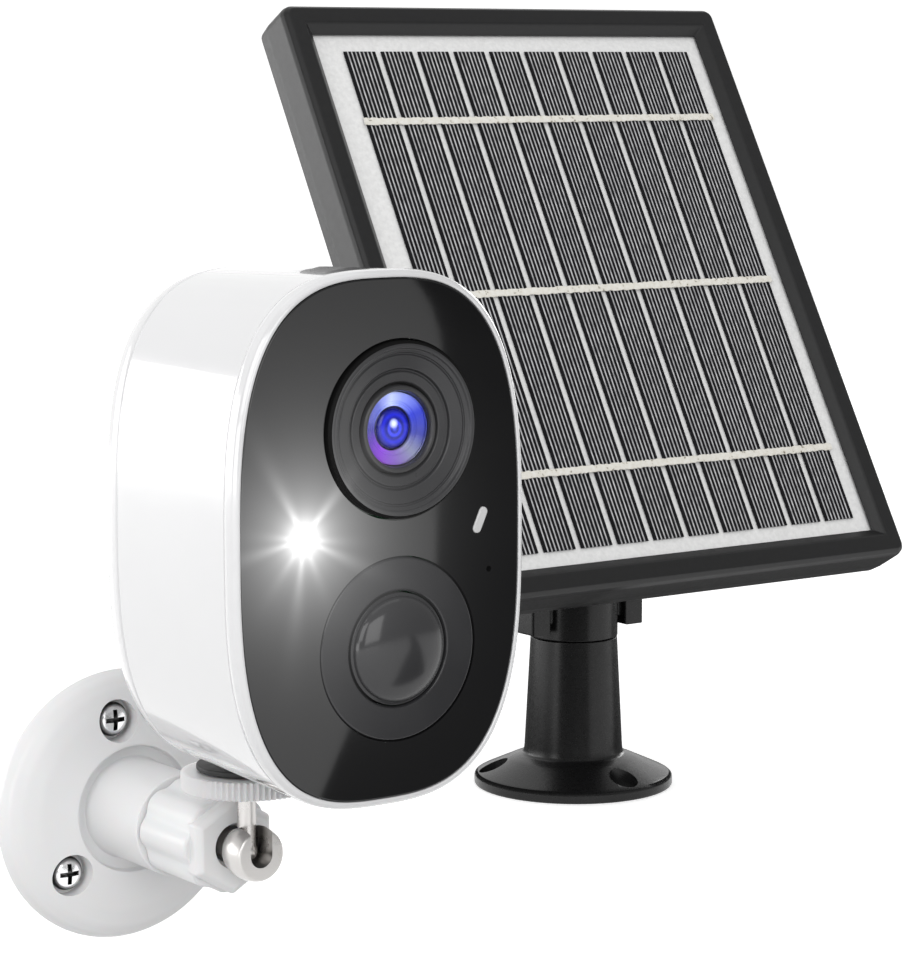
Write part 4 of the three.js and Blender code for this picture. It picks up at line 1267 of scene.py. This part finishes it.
def face_shade():
    """The floor that the dark right side of the glossy face mirrors, worked out from its edge."""
    edge = [
        (5, 60), (5.8, 47), (8.5, 44), (10.3, 41.4), (12, 37), (12.6, 34), (12.4, 20),
        (11.5, 4), (11.3, -5), (4, -20), (-6, -30), (-14, -45), (-16, -70),
    ]
    lift = 0.002
    ground = []
    for x, z in edge + [(70, -70), (70, 60)]:
        point = FACE_CENTRE + Vector((x, 0, z)) * MM
        ray = point - EYE
        ray.y = -ray.y
        fall = min(ray.z, -0.03 * ray.length)
        mirrored = point + ray * ((FLOOR + lift - point.z) / fall)
        ground.append((mirrored.x, mirrored.y, FLOOR + lift))
    return ground


def panel_shade():
    """The floor that the underside of the panel mirrors."""
    lift = 0.003
    return [(x, y, FLOOR + lift) for x, y in ((0.02, 0.07), (0.6, -0.02), (0.7, 0.45), (0.1, 0.45))]


def stand_shade():
    """Two edges of a curved strip around the front left of the stand, for the middle of its pole."""
    radius, low, high = 0.05, FLOOR + 0.001, 0.02
    turns = spread(math.radians(199), math.radians(267), 8)
    places = [STAND * MM + radius * Vector((math.cos(a), math.sin(a), 0)) for a in turns]
    return [[(place.x, place.y, z) for place in places] for z in (low, high)]


def make_flag():
    """Three dark sheets that only reflections see, standing in for the dark parts of a studio."""
    surface = Surface("flag_cloth", (0.2, 0.2, 0.2), 1.0, Specular_IOR_Level=0.0).vary_color(3, 0.1)
    bm = bmesh.new()
    for sheet in (face_shade(), panel_shade()):
        bm.faces.new([bm.verts.new(corner) for corner in sheet])
    low, high = [[bm.verts.new(corner) for corner in edge] for edge in stand_shade()]
    for k in range(len(low) - 1):
        bm.faces.new([low[k], low[k + 1], high[k + 1], high[k]])
    bmesh.ops.triangulate(bm, faces=bm.faces)
    mesh = bpy.data.meshes.new("flag")
    bm.to_mesh(mesh)
    bm.free()
    flag = linked("flag", mesh)
    flag.data.materials.append(surface.material)
    flag.visible_camera = False
    flag.visible_diffuse = False
    flag.visible_shadow = False
    flag.visible_transmission = False


def make_light(name, place, target, size, power):
    """A rectangular lamp at one place, facing another; its power is in watts."""
    data = bpy.data.lights.new(name, "AREA")
    data.shape = "RECTANGLE"
    data.size, data.size_y = size
    data.energy = power
    light = linked(name, data)
    light.location = place
    light.rotation_euler = (Vector(target) - Vector(place)).to_track_quat("-Z", "Y").to_euler()


def make_world():
    world = bpy.data.worlds.new("studio")
    world.use_nodes = True
    background = world.node_tree.nodes["Background"]
    background.inputs["Color"].default_value = (1, 1, 1, 1)
    background.inputs["Strength"].default_value = 0.45
    bpy.context.scene.world = world


def make_camera():
    data = bpy.data.cameras.new("view")
    data.lens = FOCAL_LENGTH_MM
    data.sensor_width = SENSOR_MM
    data.clip_end = 50
    camera = linked("view", data)
    camera.location = EYE
    camera.rotation_euler = (QUARTER - ELEVATION, 0, -AZIMUTH)
    bpy.context.scene.camera = camera


bpy.context.scene.view_settings.view_transform = "Standard"
make_floor()
make_light("key", (-1.1, -0.7, 0.7), (0.05, 0, 0.06), (0.8, 0.8), 6)
make_light("top", (0.1, 0.1, 1.4), (0.05, 0.1, 0.0), (1.6, 1.4), 4)
make_light("front", (-0.35, -1.6, 0.6), (0.05, 0, 0.06), (1.0, 1.0), 9)
make_light("left", (-0.75, 0.95, 0.16), (0, -0.07, 0.07), (1.2, 0.44), 5)
make_light("right", (1.35, 0.5, 0.3), (0.17, 0.07, 0.03), (0.35, 0.8), 4)
make_light("low_left", (-1.3, -0.35, 0.12), (0, 0, 0.0), (0.8, 0.3), 2.8)
make_flag()
make_world()
make_camera()
